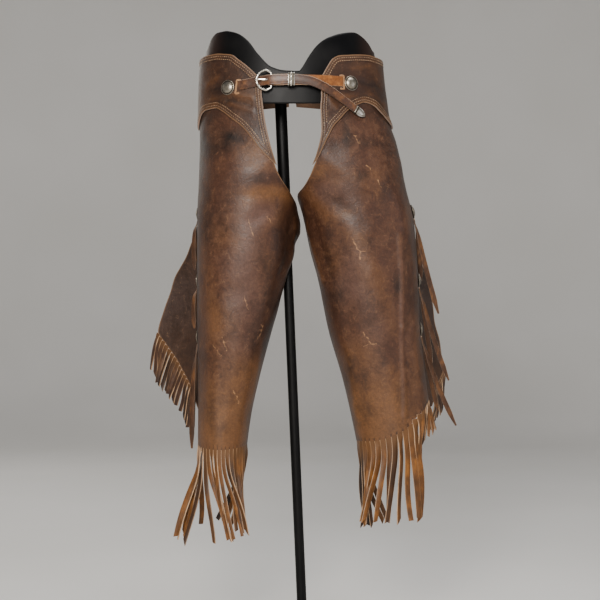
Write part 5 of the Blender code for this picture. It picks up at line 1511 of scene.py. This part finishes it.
def leg_strap(leg, name, height, inward):
    """Plain strap behind the leg, from inside the inner edge to under the wing's root."""
    start = read(leg["edges"], "height", height, "inner") - 13
    end = 360 + leg["edges"][-1]["outer"] + 8
    near = -(LEATHER + LAYER_GAP + 0.3)
    far = WING_OUT - LEATHER - LAYER_GAP - 0.3
    t = np.linspace(0, 1, 90)
    slack = smooth_step(t, 0.06, 0.16) * (1 - smooth_step(t, 0.8, 0.94))
    out = near + (far - near) * smooth_step(t, 0.6, 0.9) - inward * slack - STRAP_THICK / 2
    fall = 14 * np.sin(math.pi * t) ** 1.5
    path, faces = leg_surface(leg, start + (end - start) * t, height - fall, out)
    return strap_piece("strap_" + name, path, faces, np.full(len(t), 22.0), STRAP_THICK, FRINGE_FINISH,
                       ["leg_strap_" + name])


def ties(leg, rows):
    edge = leg["edges"][-1]["outer"]
    for number, row in enumerate(rows, 1):
        label = leg["name"] + "_" + str(number)
        centre, normal = leg_seat(leg, edge + TIE_CONCHO_ANGLE, row["height"], LAYER_GAP)
        for end, start in (("a", -6.0), ("b", 7.0)):
            tie_string(leg, "tie_string_" + label + "_" + end, centre, normal, start, row, end)
        concho("silver_concho_" + label, "concho_" + label, centre, normal)
        leg_strap(leg, label, row["height"], row["strap_in"])


def back_tab():
    """Plain tab across the ends of both yokes at the centre back, with a row of stitches drawn as a groove."""
    seat = YOKE_FACE + LAYER_GAP
    angles = -90 + 3.5 * np.linspace(-4, 4, 40)[None, :]
    heights = np.linspace(1134, 1094, 24)[:, None]
    edge = np.minimum(np.minimum(1134 - heights, heights - 1094), (14 - np.abs(angles + 90)) * 1.9)
    crown = 0.4 * smooth_step(edge, 0, 2) - 0.4 * np.exp(-((edge - 4) / 0.8) ** 2)
    outer, _ = leg_surface(LEFT, angles, heights, seat + LEATHER + crown)
    inner, _ = leg_surface(LEFT, angles, heights, seat)
    return sheet_piece("back_tab_leather", outer, inner, YOKE_FINISH, ["back_strap"],
                       {"edge": edge})


# Display stand

def form_shell():
    """Smooth oval hip form, open at the top and below, with a lobe on each hip and round rims."""
    columns = 200
    turn = np.linspace(0, 2 * math.pi, columns, endpoint=False)
    x = read(FORM, "height", 1150, "centre_x") - read(FORM, "height", 1150, "half_width") * np.cos(turn)
    top = read(FORM_TOP, "x", x, "height")
    low = FORM_FRONT_LOW + (FORM_BACK_LOW - FORM_FRONT_LOW) * (1 - np.sin(turn)) / 2
    rim = FORM_WALL / 2
    rings = []
    walls = [(share, 0.0) for share in np.linspace(0, 1, 26)]
    bend = np.linspace(0, math.pi, 9)[1:-1]
    section = walls + [(1.0, angle) for angle in bend] + [(share, math.pi) for share, _ in walls[::-1]]
    section += [(0.0, math.pi + angle) for angle in bend]
    for share, angle in section:
        inward = rim - rim * math.cos(angle)
        height = low + rim + (top - low - 2 * rim) * share + rim * math.sin(angle)
        at = {name: read(FORM, "height", height, name) for name in ("centre_x", "half_width", "half_depth")}
        rings.append(np.stack([at["centre_x"] - (at["half_width"] - inward) * np.cos(turn),
                               -(at["half_depth"] - inward) * np.sin(turn), height], -1))
    faces = ring_faces(len(rings), columns, loop=True)
    points = np.concatenate(rings)
    # Painted brown reflection on the form's sides, towards the hips
    sides = smooth_step(np.abs(points[:, 0] + 26), 118, 160)
    return mesh_piece("hip_form_shell", points, faces, [0] * len(faces), [form_black],
                      ["form"], {"warm": sides}, sharp=60.0)


def pole_place(height):
    return np.array([POLE_LEAN * height, 0.0, height])


def rounded_rod(name, node, low, high, radius, rings=()):
    """Tube on the leaning pole's line with rounded ends; rings are heights of raised bands."""
    axis = pole_place(high) - pole_place(low)
    length = float(np.linalg.norm(axis))
    profile = [(0, 0), (radius - 0.8, 0), (radius, 0.8)]
    for place in rings:
        profile += [(radius, place - 3), (radius + 1.0, place - 2.4), (radius + 1.0, place + 2.4), (radius, place + 3)]
    profile += [(radius, length - 0.8), (radius - 0.8, length), (0, length)]
    return turned_piece(name, profile, pole_place(low), axis, steel_black, [node], 48)


def stand():
    form_shell()
    rounded_rod("sleeve_tube", "pole_sleeve", SLEEVE_LOW, CROSSBAR_TOP - CROSSBAR_THICK - 0.9, SLEEVE_RADIUS,
                (6.0,))
    rounded_rod("pole_tube", "pole", BASE_HEIGHT + COLLAR_HEIGHT + 0.6, SLEEVE_LOW - 0.4, POLE_RADIUS)
    plate = [(0, 0), (BASE_RADIUS - 1.2, 0), (BASE_RADIUS - 0.3, 0.4), (BASE_RADIUS, 1.4),
             (BASE_RADIUS, BASE_HEIGHT - 2.2), (BASE_RADIUS - 0.7, BASE_HEIGHT - 0.7),
             (BASE_RADIUS - 2.4, BASE_HEIGHT), (26, BASE_HEIGHT), (0, BASE_HEIGHT)]
    turned_piece("base_plate", plate, np.zeros(3), UP, steel_black, ["base"], 128)
    collar = [(0, 0.3), (19.2, 0.3), (20, 1.2), (19, 5), (16.6, 14), (16, COLLAR_HEIGHT - 2.4),
              (15.2, COLLAR_HEIGHT - 0.6), (14, COLLAR_HEIGHT), (0, COLLAR_HEIGHT)]
    turned_piece("base_collar_turned", collar, np.array([0, 0, BASE_HEIGHT]), UP, steel_black,
                 ["base_collar"], 64, sharp=50.0)
    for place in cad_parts["form_crossbar"].material_slots:
        place.material = steel_black


# Studio

def camera():
    """At the photograph's height and distance, level, facing the front."""
    data = bpy.data.cameras.new("front_camera")
    data.sensor_width = 36.0
    half_view = 300 * 1.95 * MILLIMETRE        # half the picture's width where the chaps hang
    distance = 2.4
    data.lens = 18.0 * distance / half_view
    made = bpy.data.objects.new("front_camera", data)
    made.location = (-0.0078, -distance, 0.692)
    made.rotation_euler = (math.radians(90), 0, 0)
    bpy.context.collection.objects.link(made)
    bpy.context.scene.camera = made


def soft_light(name, place, target, size, power, tint):
    data = bpy.data.lights.new(name, "AREA")
    data.shape = "DISK"
    data.size = size
    data.energy = power
    data.color = hex_colour(tint)[:3]
    made = bpy.data.objects.new(name, data)
    made.location = place
    made.rotation_euler = (Vector(target) - Vector(place)).to_track_quat("-Z", "Y").to_euler()
    bpy.context.collection.objects.link(made)


def studio():
    """Pale floor that rises in a wide curve all round, a large soft front light and two fills."""
    profile = [(0.0, 0.0), (2.0, 0.0), (3.6, 0.0)]
    profile += [(3.6 + 1.6 * math.sin(a), 1.6 - 1.6 * math.cos(a)) for a in np.radians(np.linspace(8, 90, 12))]
    profile += [(5.2, 3.6)]
    turns = np.linspace(0, 2 * math.pi, 96, endpoint=False)
    points = [(0.0, 0.0, 0.0)] + [(r * math.cos(a), r * math.sin(a), z) for r, z in profile[1:] for a in turns]
    faces = [(0, 1 + j, 1 + (j + 1) % 96) for j in range(96)]
    for i in range(len(profile) - 2):
        low = 1 + i * 96
        faces += [(low + j, low + 96 + j, low + 96 + (j + 1) % 96, low + (j + 1) % 96) for j in range(96)]
    mesh = bpy.data.meshes.new("studio_floor")
    mesh.from_pydata(points, [], faces)
    mesh.materials.append(floor_paint())
    mesh.shade_smooth()
    floor = bpy.data.objects.new("studio_floor", mesh)
    bpy.context.collection.objects.link(floor)
    world = bpy.data.worlds.new("studio_air")
    bpy.context.scene.world = world
    world.use_nodes = True
    world.node_tree.nodes["Background"].inputs["Color"].default_value = hex_colour("#e9edf2")
    world.node_tree.nodes["Background"].inputs["Strength"].default_value = 0.24
    soft_light("front_light", (-0.45, -3.0, 1.75), (0, 0, 0.75), 1.2, 140, "#fffaf4")
    soft_light("right_fill", (2.6, -1.6, 1.2), (0, 0, 0.7), 1.6, 12, "#f2f4ff")
    soft_light("back_light", (-1.8, 2.4, 2.2), (0, 0, 0.8), 1.8, 24, "#fffaf2")
    soft_light("top_light", (0.6, -0.4, 3.1), (0, 0, 0.6), 1.6, 44, "#ffffff")


def chaps():
    for leg, tie_rows in ((LEFT, LEFT_TIES), (RIGHT, RIGHT_TIES)):
        ties(leg, tie_rows)
    for leg in (LEFT, RIGHT):
        leg_piece, leg_area = leg_leather(leg)
        wing_piece, wing_area = wing_leather(leg)
        yoke_piece, yoke_area = yoke_leather(leg)
        hem_fringe(leg)
        wing_fringe(leg)
    for leg, inward, height in ((LEFT, 61, 1091), (RIGHT, 69, 1098)):
        centre, normal = leg_seat(leg, hip_angle(leg, inward, height), height, YOKE_FACE + LAYER_GAP + 0.1)
        concho("silver_concho_belt_" + leg["name"], "concho_belt_" + leg["name"], centre, normal)
    buckle_strap()
    billet()
    slot_lining("slot_lining_left", -125.0, 1091.0, 0.12, 7.0)
    slot_lining("slot_lining_right", 72.0, 1099.0, -0.05, -7.0)
    buckle_frame()
    buckle_tongue()
    keeper()
    back_tab()


camera()
chaps()
stand()
studio()
